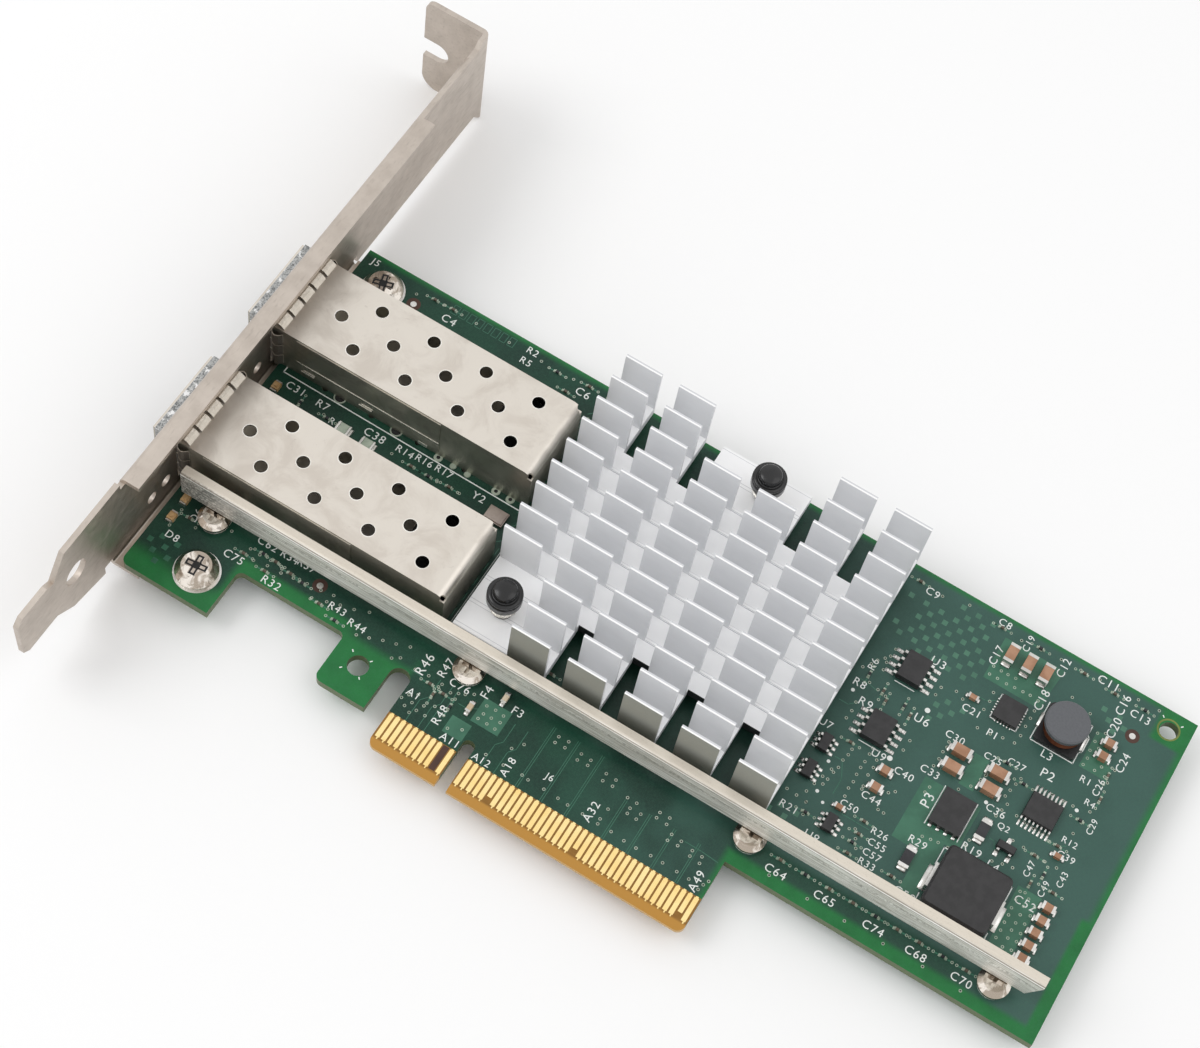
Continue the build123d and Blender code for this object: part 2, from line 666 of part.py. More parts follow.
def pan_head_screw(x, y, seat, head, rise, shank, end):
    """A domed cross-recess screw; seat is the height of the face under its head."""
    radius = head / 2
    dome = [(radius, 0), (radius, 0.35 * rise), (0.7 * radius, rise), (0, rise)]
    profile = [(0, end - seat), (shank / 2, end - seat), (shank / 2, 0)] + dome
    body = Pos(x, y, seat) * revolve(Plane.XZ * Polygon(*profile, align=None), Axis.Z)
    arm, blade = head * 0.5, head * 0.12
    depth = (seat + rise * 0.35, seat + rise + 1)
    return body - block(span(x, arm), span(y, blade), depth) - block(span(x, blade), span(y, arm), depth)


def make_bracket_screws():
    """The two screws that hold the board on the bracket's ears."""
    end = LEDGE_LOW - SCREW_END
    return group(
        pan_head_screw(x, y, 0, SCREW_HEAD_DIAMETER, SCREW_HEAD_HEIGHT, SCREW_DIAMETER, end)
        for x, y in SCREW_AXES
    )


# Port cages

def cage_pin_steps():
    """How far behind its front each of a cage's pins stands."""
    room = CAGE_LENGTH - CAGE_PIN_START - CAGE_PIN_MARGIN
    return [CAGE_PIN_START + i * CAGE_PIN_PITCH for i in range(1 + int(room / CAGE_PIN_PITCH + 0.05))]


def cage_pin_axes():
    """The centres of the press-fit pins of both cages."""
    side = CAGE_WIDTH / 2 - CAGE_SHEET / 2
    axes = []
    for centre in CAGE_CENTRES_Y:
        for way in (-1, 1):
            axes += [(CAGE_FRONT + x, centre + way * side) for x in cage_pin_steps()]
    return axes


def vent_places():
    """The centres of a cage's vents, from its front and its middle line, as many as fit."""
    places = []
    for i in range(1 + int(CAGE_LENGTH / VENT_PITCH)):
        middle = VENT_START + i * VENT_PITCH
        places.append((middle, 0))
        places += [(middle + VENT_STAGGER, way * VENT_ROW_OFFSET) for way in (-1, 1)]
    return [place for place in places if place[0] < CAGE_LENGTH - VENT_MARGIN]


def make_cage(centre):
    """A folded sheet cage, open at the nose and under its rear, with vents, latch hole and pins."""
    ends = (CAGE_FRONT, CAGE_REAR)
    outer = block(ends, span(centre, CAGE_WIDTH), (0, CAGE_HEIGHT))
    rear_top = outer.edges().filter_by(Axis.Y).sort_by(lambda e: e.center().X + e.center().Z)[-1]
    outer = fillet(rear_top, CAGE_BEND)
    inner = block(
        (CAGE_FRONT - 1, CAGE_REAR - CAGE_SHEET),
        span(centre, CAGE_WIDTH - 2 * CAGE_SHEET),
        (CAGE_SHEET, CAGE_HEIGHT - CAGE_SHEET),
    )
    rear_top = inner.edges().filter_by(Axis.Y).sort_by(lambda e: e.center().X + e.center().Z)[-1]
    cage = outer - fillet(rear_top, CAGE_BEND - CAGE_SHEET)
    floor_end = CAGE_REAR - PORT_SETBACK - PORT_LENGTH - PORT_FLOOR_GAP
    floor_open = span(centre, CAGE_WIDTH - 2 * CAGE_SHEET)
    cage -= block((floor_end, CAGE_REAR - CAGE_SHEET), floor_open, (-1, CAGE_SHEET + 1))
    for x, y in vent_places():
        cage -= small_hole(CAGE_FRONT + x, centre + y, VENT_DIAMETER, 16, CAGE_HEIGHT - 1, CAGE_HEIGHT + 1)
    latch = CAGE_FRONT + LATCH_HOLE_PLACE
    hole = [(latch, centre - LATCH_HOLE / 2), (latch, centre + LATCH_HOLE / 2), (latch - LATCH_HOLE, centre)]
    cage -= upright(hole, -1, 1)
    for way in (-1, 1):
        corner = (CAGE_REAR - 0.2, centre + way * (CAGE_WIDTH / 2 - 0.1))
        cage -= rod(*corner, CAGE_CORNER_HOLE, CAGE_HEIGHT - CAGE_BEND, CAGE_HEIGHT + 1)
        side = centre + way * (CAGE_WIDTH / 2 - CAGE_SHEET / 2)
        for x in cage_pin_steps():
            run = span(CAGE_FRONT + x, CAGE_PIN_WIDTH)
            cage += block(run, span(side, CAGE_SHEET), (-CAGE_PIN_LENGTH, CAGE_SHEET))
    return cage


def collar_finger(x_root, x_end, base):
    """The side view of one spring finger, arched over the bracket's edge, as X and height."""
    flat_end = x_root + FINGER_START * (x_end - x_root)
    top = [(x_root, base)]
    for i in range(FINGER_STEPS + 1):
        share = i / FINGER_STEPS
        top.append((flat_end + share * (x_end - flat_end), base + FINGER_RISE * sin(pi * share)))
    under = [(x, h) for x, h in reversed(top)]
    return [(x, h + COLLAR_SHEET) for x, h in top] + under


def make_collar(centre):
    """The spring collar: a band round the nose with fingers that arch behind the bracket."""
    front = CAGE_FRONT + COLLAR_PLACE
    band = (front, front + COLLAR_BAND)
    gap = COLLAR_GAP
    outer_width = CAGE_WIDTH + 2 * (gap + COLLAR_SHEET)
    outer = block(band, span(centre, outer_width), (-gap - COLLAR_SHEET, CAGE_HEIGHT + gap + COLLAR_SHEET))
    collar = outer - block(
        (front - 1, band[1] + 1), span(centre, CAGE_WIDTH + 2 * gap), (-gap, CAGE_HEIGHT + gap)
    )
    root, end = band[1] - 0.01, band[1] + FINGER_REACH
    pitch = CAGE_WIDTH / TOP_FINGERS
    for i in range(TOP_FINGERS):
        y = centre - CAGE_WIDTH / 2 + (i + 0.5) * pitch
        side_view = collar_finger(root, end, CAGE_HEIGHT + gap)
        collar += along_y(side_view, *span(y, pitch - FINGER_GAP))
    side_pitch = (CAGE_HEIGHT - 1) / SIDE_FINGERS
    for way in (-1, 1):
        base = CAGE_WIDTH / 2 + gap
        plan = [(x, centre + way * h) for x, h in collar_finger(root, end, base)]
        for i in range(SIDE_FINGERS):
            z = 0.5 + (i + 0.5) * side_pitch
            collar += upright(plan, *span(z, side_pitch - FINGER_GAP))
    return collar


def port_width():
    """The width of a port connector, which follows its cage."""
    return CAGE_WIDTH - 2 * CAGE_SHEET - 2 * PORT_SIDE_GAP


def port_slot(centre):
    """The room inside a port connector for a module's edge."""
    front = CAGE_REAR - PORT_SETBACK - PORT_LENGTH
    return block(
        (front - 1, front + PORT_SLOT_DEPTH),
        span(centre, port_width() - 2 * PORT_SLOT_WALL),
        (PORT_SLOT_RISE, PORT_SLOT_RISE + PORT_SLOT_HEIGHT),
    )


def make_port(centre):
    """The connector housing at the back of a cage, with its slot and contact grooves."""
    rear = CAGE_REAR - PORT_SETBACK
    body = block((rear - PORT_LENGTH, rear), span(centre, port_width()), (0, PORT_HEIGHT))
    nose = body.edges().filter_by(Axis.Y).group_by(Axis.X)[0]
    body = chamfer(nose, 0.4) - port_slot(centre)
    for contact in port_contacts(centre):
        body -= contact
    return body


def bent_blade(start, back, level):
    """The side view of a contact: a blade at the level given and a tail down to the board."""
    foot = back + PORT_BLADE
    return [(start, level), (back, level), (back, 0), (foot, 0), (foot, level + PORT_BLADE), (start, level + PORT_BLADE)]


def port_contacts(centre):
    """The L-shaped contacts of a port: blades over and under the slot, with tails on the board."""
    rear = CAGE_REAR - PORT_SETBACK
    start = rear - PORT_LENGTH + PORT_BLADE_SETBACK
    back = rear - PORT_TAIL_INSET
    upper = bent_blade(start, back, PORT_SLOT_RISE + PORT_SLOT_HEIGHT)
    lower = bent_blade(start, back - 3 * PORT_BLADE, PORT_SLOT_RISE - PORT_BLADE)
    contacts = []
    for i in range(PORT_CONTACTS):
        y = centre + (i - (PORT_CONTACTS - 1) / 2) * PORT_CONTACT_PITCH
        contacts += [along_y(points, *span(y, PORT_CONTACT_WIDTH)) for points in (upper, lower)]
    return contacts


# Chip, pad, heat sink and push pins

def make_chip():
    """The controller: a square substrate with a metal lid."""
    x, y = CHIP_CENTRE
    substrate = block(span(x, CHIP_SIZE), span(y, CHIP_SIZE), (0, CHIP_SUBSTRATE))
    top = CHIP_SUBSTRATE + CHIP_LID
    lid = block(span(x, CHIP_LID_SIZE), span(y, CHIP_LID_SIZE), (CHIP_SUBSTRATE, top))
    lid = chamfer(lid.faces().sort_by(Axis.Z)[-1].edges(), 0.3)
    return substrate + lid


def make_pad():
    """The thermal pad squeezed between chip and heat sink."""
    x, y = CHIP_CENTRE
    low = CHIP_SUBSTRATE + CHIP_LID
    return block(span(x, PAD_SIZE), span(y, PAD_SIZE), (low, low + PAD_THICKNESS))


def fin_is_cut(column, row):
    """Whether the fin is milled away for a push pin."""
    back_rows = row >= FIN_ROWS - BARE_ROWS_BACK
    return (column == 0 and row < BARE_ROWS_LEFT) or (column in (2, 3) and back_rows)


def make_heat_sink():
    """The base with cross-cut fins, the stubs between them, slots from both sides and pin holes."""
    width = (SINK_LEFT, SINK_RIGHT)
    parts = []
    for row in range(FIN_ROWS):
        y = SINK_FRONT + row * FIN_PITCH
        depth = (y, y + FIN_THICKNESS)
        cut = [column for column in range(FIN_COLUMNS) if fin_is_cut(column, row)]
        stub_start = SINK_LEFT + (SINK_PITCH if 0 in cut else 0)
        parts.append(block((stub_start, SINK_RIGHT), depth, (SINK_TOP, SINK_TOP + STUB_HEIGHT)))
        for column in range(FIN_COLUMNS):
            if column in cut:
                continue
            x = SINK_LEFT + column * SINK_PITCH
            parts.append(block((x, x + FIN_LENGTH), depth, (SINK_TOP, SINK_TOP + FIN_HEIGHT)))
    sink = block(width, (SINK_FRONT, SINK_BACK), (SINK_LOW, SINK_TOP)) + parts
    pad_right = BACK_PAD_LEFT + SINK_PITCH + FIN_LENGTH
    pad_front = SINK_BACK - BARE_ROWS_BACK * FIN_PITCH
    above = (SINK_TOP, SINK_TOP + STUB_HEIGHT + 1)
    sink -= block((BACK_PAD_LEFT, pad_right), (pad_front + STUB_HEIGHT, SINK_BACK + 1), above)
    for gap in range(1, FIN_COLUMNS):
        x = SINK_LEFT + gap * SINK_PITCH - FIN_GAP
        run = (x, x + FIN_GAP)
        if gap > 1:
            sink -= block(run, (SINK_FRONT - 1, SINK_FRONT + FRONT_SLOT), (0, SINK_TOP + FIN_HEIGHT))
        if gap != 3:
            sink -= block(run, (SINK_BACK - BACK_SLOT, SINK_BACK + 1), (0, SINK_TOP + FIN_HEIGHT))
    for x, y in PUSH_PIN_AXES:
        sink -= rod(x, y, PIN_SHAFT_DIAMETER + 2 * PIN_CLEARANCE, 0, SINK_TOP + 1)
    return sink


def push_pin_profile():
    """Half the section of a push pin, as radius and height: barb, shaft, head and nub."""
    head_low = SINK_TOP + PIN_SPRING_SPACE
    head_top = head_low + PIN_HEAD_HEIGHT
    head = PIN_HEAD_DIAMETER / 2
    shaft = PIN_SHAFT_DIAMETER / 2
    nub = PIN_NUB_DIAMETER / 2
    barb_high = -BOARD_THICKNESS - PIN_BARB_GAP
    return [
        (0, barb_high - PIN_BARB_LENGTH),
        (shaft / 2, barb_high - PIN_BARB_LENGTH),
        (PIN_BARB_DIAMETER / 2, barb_high),
        (shaft, barb_high),
        (shaft, head_low),
        (head, head_low),
        (head, head_top),
        (head - PIN_RIM, head_top),
        (head - PIN_RIM, head_top - PIN_DISH),
        (nub, head_top - PIN_DISH),
        (nub / 2, head_top + PIN_NUB_HEIGHT),
        (0, head_top + PIN_NUB_HEIGHT),
    ]


def make_push_pin(x, y):
    """A turned push pin with a split, barbed tip."""
    pin = revolve(Plane.XZ * Polygon(*push_pin_profile(), align=None), Axis.Z)
    barb_high = -BOARD_THICKNESS - PIN_BARB_GAP
    across = (-PIN_BARB_DIAMETER, PIN_BARB_DIAMETER)
    slit = block(span(0, PIN_SLIT), across, (barb_high - PIN_BARB_LENGTH - 1, -BOARD_THICKNESS))
    return Pos(x, y, 0) * (pin - slit)


def make_spring(x, y):
    """The coil spring between the heat sink and a push pin's head."""
    wire = SPRING_WIRE / 2
    height = PIN_SPRING_SPACE - SPRING_WIRE - 2 * SPRING_END_GAP
    radius = PIN_SHAFT_DIAMETER / 2 + SPRING_GAP + wire
    path = Helix(pitch=height / SPRING_TURNS, height=height, radius=radius)
    start = Plane(origin=path @ 0, z_dir=path % 0)
    coil = sweep(start * RegularPolygon(wire, SPRING_SIDES), path=path, is_frenet=True)
    return Pos(x, y, SINK_TOP + wire + SPRING_END_GAP) * coil


# Stiffener bar

def leg_section():
    """The side view of a leg in YZ: from the flange's back edge down behind the web to the screw."""
    back_low = BAR_FRONT + LEG_OFFSET
    return [
        (BAR_FRONT + BAR_DEPTH - BAR_SHEET, BAR_HIGH),
        (BAR_FRONT + BAR_DEPTH, BAR_HIGH),
        (back_low, 0),
        (BAR_SCREW_Y, 0),
        (BAR_SCREW_Y, BAR_SHEET),
        (back_low - LEG_HEEL, BAR_SHEET),
        (BAR_FRONT + BAR_DEPTH - BAR_SHEET, BAR_HIGH - BAR_SHEET),
    ]


def make_bar():
    """The L-section bar with its slanted end and four folded legs."""
    web = along_y(
        [
            (BAR_LEFT, BAR_LOW),
            (BAR_RIGHT - BAR_END_SLANT, BAR_LOW),
            (BAR_RIGHT, BAR_HIGH - BAR_SHEET),
            (BAR_RIGHT, BAR_HIGH),
            (BAR_LEFT, BAR_HIGH),
        ],
        BAR_FRONT,
        BAR_FRONT + BAR_SHEET,
    )
    flange = block((BAR_LEFT, BAR_RIGHT), (BAR_FRONT, BAR_FRONT + BAR_DEPTH), (BAR_HIGH - BAR_SHEET, BAR_HIGH))
    bar = web + flange
    for x, y in BAR_SCREW_AXES:
        bar += along_x(leg_section(), *span(x, LEG_WIDTH))
        bar += rod(x, y, LEG_WIDTH, 0, BAR_SHEET)
    fold = [e for e in bar.edges().filter_by(Axis.X) if e.length > BAR_RIGHT - BAR_LEFT - 1]
    front = [e for e in fold if abs(e.center().Y - BAR_FRONT) < 1e-3 and abs(e.center().Z - BAR_HIGH) < 1e-3]
    bar = fillet(front, BAR_SHEET * 0.7)
    for x, y in BAR_SCREW_AXES:
        bar -= rod(x, y, BAR_SCREW_DIAMETER + 2 * FIT, -1, BAR_SHEET + 0.1)
    return bar


def make_bar_screws():
    """The four domed rivet screws that hold the bar's feet."""
    end = -BOARD_THICKNESS - BAR_SCREW_END
    return group(
        pan_head_screw(x, y, BAR_SHEET, BAR_SCREW_HEAD, BAR_SCREW_RISE, BAR_SCREW_DIAMETER, end)
        for x, y in BAR_SCREW_AXES
    )


# Leaded packages

def package_body(centre, size):
    """A moulded package body with drafted sides, standing on its leads."""
    x, y = centre
    length, width, height = size
    middle = (STAND_OFF + height) / 2
    draft = 2 * PACKAGE_DRAFT
    low = Pos(x, y, STAND_OFF) * Rectangle(length - draft, width - draft)
    belt = Pos(x, y, middle) * Rectangle(length, width)
    top = Pos(x, y, height) * Rectangle(length - draft, width - draft)
    return loft([low, belt], ruled=True) + loft([belt, top], ruled=True)


def gull_lead(x, y, way, along, reach, height, width):
    """One gull-wing lead leaving a body's side at x, y; way is its sign along the named axis."""
    half = LEAD_THICKNESS / 2
    middle = (STAND_OFF + height) / 2
    knee = reach * 0.35
    side_view = [
        (0, middle + half),
        (knee + half, middle + half),
        (knee + LEAD_THICKNESS + half, LEAD_THICKNESS),
        (reach, LEAD_THICKNESS),
        (reach, 0),
        (knee, 0),
        (knee - half, middle - half),
        (0, middle - half),
    ]
    if along == "x":
        return along_y([(x + way * u, z) for u, z in side_view], *span(y, width))
    return along_x([(y + way * u, z) for u, z in side_view], *span(x, width))


def lead_row(centre, size, along, way, count, lead, missing=()):
    """A row of leads on one side of a package; missing names leads by number."""
    x, y = centre
    pitch, reach, width = lead
    offsets = [(i - (count - 1) / 2) * pitch for i in range(count) if i not in missing]
    if along == "x":
        edge = x + way * size[0] / 2
        return [gull_lead(edge, y + d, way, along, reach, size[2], width) for d in offsets]
    edge = y + way * size[1] / 2
    return [gull_lead(x + d, edge, way, along, reach, size[2], width) for d in offsets]


def memory_places():
    """The centres of the two memory chips."""
    return [by_top_edge(UPPER_SOIC), by_lower_edge(LOWER_SOIC)]


def small_ic_places():
    """The centres of the small six-lead chips."""
    return [by_lower_edge(place) for place in LOWER_SMALL_ICS]


def make_soic_leads():
    """Four leads on each side of the two memory chips."""
    leads = []
    for centre in memory_places():
        for way in (-1, 1):
            leads += lead_row(centre, SOIC, "x", way, 4, SOIC_LEAD)
    return group(leads)


def make_small_ic_leads():
    """Three leads on each side of the small chips, and the transistor's three."""
    leads = []
    for centre in small_ic_places():
        for way in (-1, 1):
            leads += lead_row(centre, SMALL_IC, "x", way, 3, SMALL_LEAD)
    transistor = by_lower_edge(LOWER_TRANSISTOR)
    leads += lead_row(transistor, TRANSISTOR, "y", -1, 3, SMALL_LEAD, missing=(1,))
    leads += lead_row(transistor, TRANSISTOR, "y", 1, 1, SMALL_LEAD)
    return group(leads)


def make_tssop_leads():
    """Eight leads on each long side of the power controller."""
    leads = []
    for way in (-1, 1):
        leads += lead_row(by_lower_edge(LOWER_TSSOP), TSSOP, "y", way, 8, TSSOP_LEAD)
    return group(leads)


def flat_package(centre, size):
    """A leadless package that lies on the board."""
    x, y = centre
    return block(span(x, size[0]), span(y, size[1]), (0, size[2]))


# Inductors

def make_drum_core():
    """The ferrite drum: a square foot, a core and a round top flange."""
    x, y = by_top_edge(UPPER_DRUM)
    foot = block(span(x, DRUM_BASE), span(y, DRUM_BASE), (0, DRUM_FLANGE))
    foot = chamfer(foot.edges().filter_by(Axis.Z), DRUM_CORNER)
    flange_low = DRUM_HEIGHT - DRUM_FLANGE
    outer = DRUM_DIAMETER / 2
    rim = DRUM_FLANGE / 4
    profile = [(0, 0), (DRUM_CORE_DIAMETER / 2, 0), (DRUM_CORE_DIAMETER / 2, flange_low), (outer, flange_low)]
    profile += [(outer, DRUM_HEIGHT - rim), (outer - rim, DRUM_HEIGHT), (0, DRUM_HEIGHT)]
    return foot + Pos(x, y, 0) * revolve(Plane.XZ * Polygon(*profile, align=None), Axis.Z)


def make_drum_winding():
    """The drum's copper winding, as one ring with a groove for each turn."""
    x, y = by_top_edge(UPPER_DRUM)
    low, high = DRUM_FLANGE + WINDING_GAP, DRUM_HEIGHT - DRUM_FLANGE - WINDING_GAP
    pitch = (high - low) / WINDING_TURNS
    inner = DRUM_CORE_DIAMETER / 2 + WINDING_GAP
    outer = DRUM_DIAMETER / 2 - WINDING_INSET
    points = [(inner, low)]
    for i in range(WINDING_TURNS):
        points += [(outer - pitch / 3, low + i * pitch), (outer, low + (i + 0.5) * pitch)]
    points += [(outer - pitch / 3, high), (inner, high)]
    return Pos(x, y, 0) * revolve(Plane.XZ * Polygon(*points, align=None), Axis.Z)


def make_moulded_inductor():
    """The moulded inductor's body, with rounded upright corners and a softened top edge."""
    x, y = by_lower_edge(LOWER_MOULDED)
    body = block(span(x, MOULDED_LENGTH), span(y, MOULDED_WIDTH), (TERMINAL_SHEET, MOULDED_HEIGHT))
    body = fillet(body.edges().filter_by(Axis.Z), MOULDED_EDGE)
    return chamfer(body.faces().sort_by(Axis.Z)[-1].edges(), MOULDED_TOP_EDGE)


def make_inductor_terminals():
    """The moulded inductor's two terminals, folded under the body and up its sides."""
    x, y = by_lower_edge(LOWER_MOULDED)
    half = MOULDED_LENGTH / 2
    outer = half + TERMINAL_SHEET
    strips = []
    for way in (-1, 1):
        side_view = [
            (half - TERMINAL_FOOT, 0),
            (outer, 0),
            (outer, TERMINAL_RISE),
            (half, TERMINAL_RISE),
            (half, TERMINAL_SHEET),
            (half - TERMINAL_FOOT, TERMINAL_SHEET),
        ]
        points = [(x + way * u, z) for u, z in side_view]
        strips.append(along_y(points, *span(y, TERMINAL_WIDTH)))
    return group(strips)


# Chip capacitors, resistors, fuses, crystal and port lights

def chip_parts(centre, size, turned=False):
    """A chip part's body and its two end caps; turned lays it along Y."""
    length, width, height, cap = size
    body = Box(length - 2 * cap, width - 2 * END_CAP_LIP, height - 2 * END_CAP_LIP)
    ends = [Pos(way * (length - cap) / 2, 0, 0) * Box(cap, width, height) for way in (-1, 1)]
    spin = Rot(0, 0, 90 if turned else 0)
    place = Pos(centre[0], centre[1], height / 2)
    return [place * spin * body], [place * spin * end for end in ends]


def capacitor_list():
    """Every capacitor as centre, size and whether it lies along Y."""
    caps = [(by_lower_edge(place), SIZE_1206, False) for place in LOWER_LONG_CAPS]
    caps += [(by_top_edge(place), SIZE_1206, True) for place in UPPER_LONG_CAPS]
    caps += [(by_lower_edge(place), SIZE_0805, False) for place in LOWER_CAPS]
    caps += [(by_top_edge(place), SIZE_0805, False) for place in UPPER_CAPS]
    for i in range(CAP_COLUMN_COUNT):
        place = (CAP_COLUMN[0], CAP_COLUMN[1] + i * CAP_COLUMN_PITCH)
        caps.append((by_lower_edge(place), SIZE_0805, False))
    caps += [(by_lower_edge(place), SIZE_0603, False) for place in LOWER_SMALL_CAPS]
    caps.append((by_top_edge(UPPER_SMALL_CAP), SIZE_0603, False))
    return caps


def bodies_and_ends(parts):
    """Two groups for a list of chip parts: their bodies and their end caps."""
    bodies, ends = [], []
    for centre, size, turned in parts:
        body, caps = chip_parts(centre, size, turned)
        bodies += body
        ends += caps
    return group(bodies), group(ends)


def make_crystal():
    """The crystal's ceramic can with its metal lid, behind the lower cage."""
    length, width, height = CRYSTAL_SIZE
    x, y = CAGE_REAR - CRYSTAL_INSET[0], LOWER_CAGE_HIGH + CRYSTAL_INSET[1]
    rim = 2 * CRYSTAL_RIM
    can = block(span(x, length), span(y, width), (0, height * 0.7))
    return can + block(span(x, length - rim), span(y, width - rim), (height * 0.7, height))


def make_port_lights():
    """The four side-view lights behind the bracket's view holes."""
    length, width, height = LIGHT_SIZE
    x = BOARD_LEFT + LIGHT_INSET
    return group(block(span(x, length), span(y, width), (0, height)) for y in LIGHT_PLACES_Y)


def make_parts():
    """Every node by name."""
    under = -BOARD_THICKNESS - CONTACT_THICKNESS
    capacitors, capacitor_ends = bodies_and_ends(capacitor_list())
    resistor_list = [(by_lower_edge(place), RESISTOR_1206, True) for place in LOWER_RESISTORS]
    resistors, resistor_ends = bodies_and_ends(resistor_list)
    fuse_list = [((x, BOARD_LOWER_EDGE + y), SIZE_0603, True) for x, y in FUSE_PLACES]
    fuses, fuse_ends = bodies_and_ends(fuse_list)
    transistor = package_body(by_lower_edge(LOWER_TRANSISTOR), TRANSISTOR)
    nodes = {
        "circuit_board": make_board(),
        "edge_contacts_top": make_contacts(0, TOP_BARE_CONTACTS, TOP_SHORT_CONTACTS),
        "edge_contacts_bottom": make_contacts(under, (), BOTTOM_SHORT_CONTACTS),
        "io_bracket": make_bracket(),
        "bracket_screws": make_bracket_screws(),
        "controller_chip": make_chip(),
        "thermal_pad": make_pad(),
        "heat_sink": make_heat_sink(),
        "push_pins": group(make_push_pin(x, y) for x, y in PUSH_PIN_AXES),
        "push_pin_springs": group(make_spring(x, y) for x, y in PUSH_PIN_AXES),
        "stiffener_bar": make_bar(),
        "stiffener_screws": make_bar_screws(),
        "memory_chips": group(package_body(centre, SOIC) for centre in memory_places()),
        "memory_chip_leads": make_soic_leads(),
        "logic_chips": group([package_body(centre, SMALL_IC) for centre in small_ic_places()] + [transistor]),
        "logic_chip_leads": make_small_ic_leads(),
        "regulator_chip": flat_package(by_top_edge(UPPER_QFN), QFN),
        "power_stage": flat_package(by_lower_edge(LOWER_POWER_QFN), POWER_QFN),
        "power_controller": package_body(by_lower_edge(LOWER_TSSOP), TSSOP),
        "power_controller_leads": make_tssop_leads(),
        "drum_inductor_core": make_drum_core(),
        "drum_inductor_winding": make_drum_winding(),
        "moulded_inductor": make_moulded_inductor(),
        "moulded_inductor_terminals": make_inductor_terminals(),
        "capacitor_bodies": capacitors,
        "capacitor_ends": capacitor_ends,
        "resistor_bodies": resistors,
        "resistor_ends": resistor_ends,
        "fuse_bodies": fuses,
        "fuse_ends": fuse_ends,
        "crystal": make_crystal(),
        "port_lights": make_port_lights(),
    }
    for name, centre in zip(("lower", "upper"), CAGE_CENTRES_Y):
        nodes["port_cage_" + name] = make_cage(centre)
        nodes["spring_collar_" + name] = make_collar(centre)
        nodes["port_connector_" + name] = make_port(centre)
        nodes["port_contacts_" + name] = group(port_contacts(centre))
    return nodes


os.makedirs("parts", exist_ok=True)
for node, shape in make_parts().items():
    export_step(shape, "parts/" + node + ".step")
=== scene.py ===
import bpy
import json
import math
import random
from mathutils import Matrix, Vector


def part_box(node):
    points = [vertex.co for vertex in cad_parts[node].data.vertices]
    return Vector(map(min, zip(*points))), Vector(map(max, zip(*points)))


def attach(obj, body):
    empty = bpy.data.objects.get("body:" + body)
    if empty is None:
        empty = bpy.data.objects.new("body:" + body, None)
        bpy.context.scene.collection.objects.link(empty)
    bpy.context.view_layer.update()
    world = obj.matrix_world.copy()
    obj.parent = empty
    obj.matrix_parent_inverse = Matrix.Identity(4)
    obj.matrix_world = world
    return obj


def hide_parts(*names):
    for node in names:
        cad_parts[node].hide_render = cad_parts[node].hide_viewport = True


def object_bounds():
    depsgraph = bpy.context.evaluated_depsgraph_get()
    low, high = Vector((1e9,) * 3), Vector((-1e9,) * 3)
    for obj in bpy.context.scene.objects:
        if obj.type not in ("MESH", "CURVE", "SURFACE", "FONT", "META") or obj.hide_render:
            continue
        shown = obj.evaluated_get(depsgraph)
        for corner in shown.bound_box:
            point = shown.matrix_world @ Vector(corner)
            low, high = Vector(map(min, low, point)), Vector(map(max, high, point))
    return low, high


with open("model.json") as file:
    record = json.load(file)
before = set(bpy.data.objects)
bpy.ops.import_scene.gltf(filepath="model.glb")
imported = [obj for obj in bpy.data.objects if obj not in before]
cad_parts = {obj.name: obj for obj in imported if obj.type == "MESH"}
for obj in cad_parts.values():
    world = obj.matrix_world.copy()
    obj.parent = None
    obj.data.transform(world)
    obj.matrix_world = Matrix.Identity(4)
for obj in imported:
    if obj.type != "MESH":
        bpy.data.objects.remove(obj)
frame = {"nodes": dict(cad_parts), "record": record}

CAD_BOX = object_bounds()
MM = 0.001
RAND = random.Random(7)

# Places and sizes of the solids in millimetres, as in the part's source
SINK_FRONT = 20.62
FIN_PITCH = 4.237
FIN_ROOT = 4.0
FIN_TOP = 13.0
BRACKET_SCREWS = [(-51.2, 63.8), (-46.9, 8.9)]
CROSS_TURNS = [0.3, 0.12]
SCREW_TOP = 2.0
CAGE_FRONT = -62.28
CAGE_LENGTH = 49.2
CAGE_TOP = 9.5
CAGE_CENTRES = [27.85, 51.4]
CAGE_SIDES = [(44.3, -1), (58.5, 1), (20.75, -1), (34.95, 1)]
VENT_START, VENT_PITCH, VENT_STAGGER, VENT_ROW, VENT_MARGIN = 11.7, 9.09, 4.55, 3.95, 3.5
PIN_AXES = [(-6.5, 26.4), (15.9, 63.99)]
PIN_SHAFT_RADIUS = 1.3
LAMP_PLACES = [(-54.8, 14.0), (-54.8, 17.4), (-54.8, 37.0), (-54.8, 40.4)]
FILTER_PLACES = [(-42.5, 39.75), (-38.2, 39.55)]
CONTACTS, CONTACTS_BEFORE_KEY, BARE_CONTACT = 49, 11, 9
SHORT_CONTACTS = (16, 30, 47)
MEMORY_CHIPS = [(48.1, 52.9), (48.05, 41.7)]
LOGIC_CHIPS = [(42.5, 35.6), (42.45, 30.8), (48.9, 25.2)]
TRANSISTOR = (72.15, 35.8)
REGULATOR = (63.15, 54.9)
POWER_STAGE = (63.1, 36.3)
POWER_CONTROLLER = (74.2, 43.6)
MOULDED_INDUCTOR = (70.15, 25.8)
DRUM_INDUCTOR = (71.15, 56.5)
LEAD_PITCH = 1.27
CORNER_HOLE = (84.6, 65.8)
HOOK_HOLE = (-20.0, 9.2)

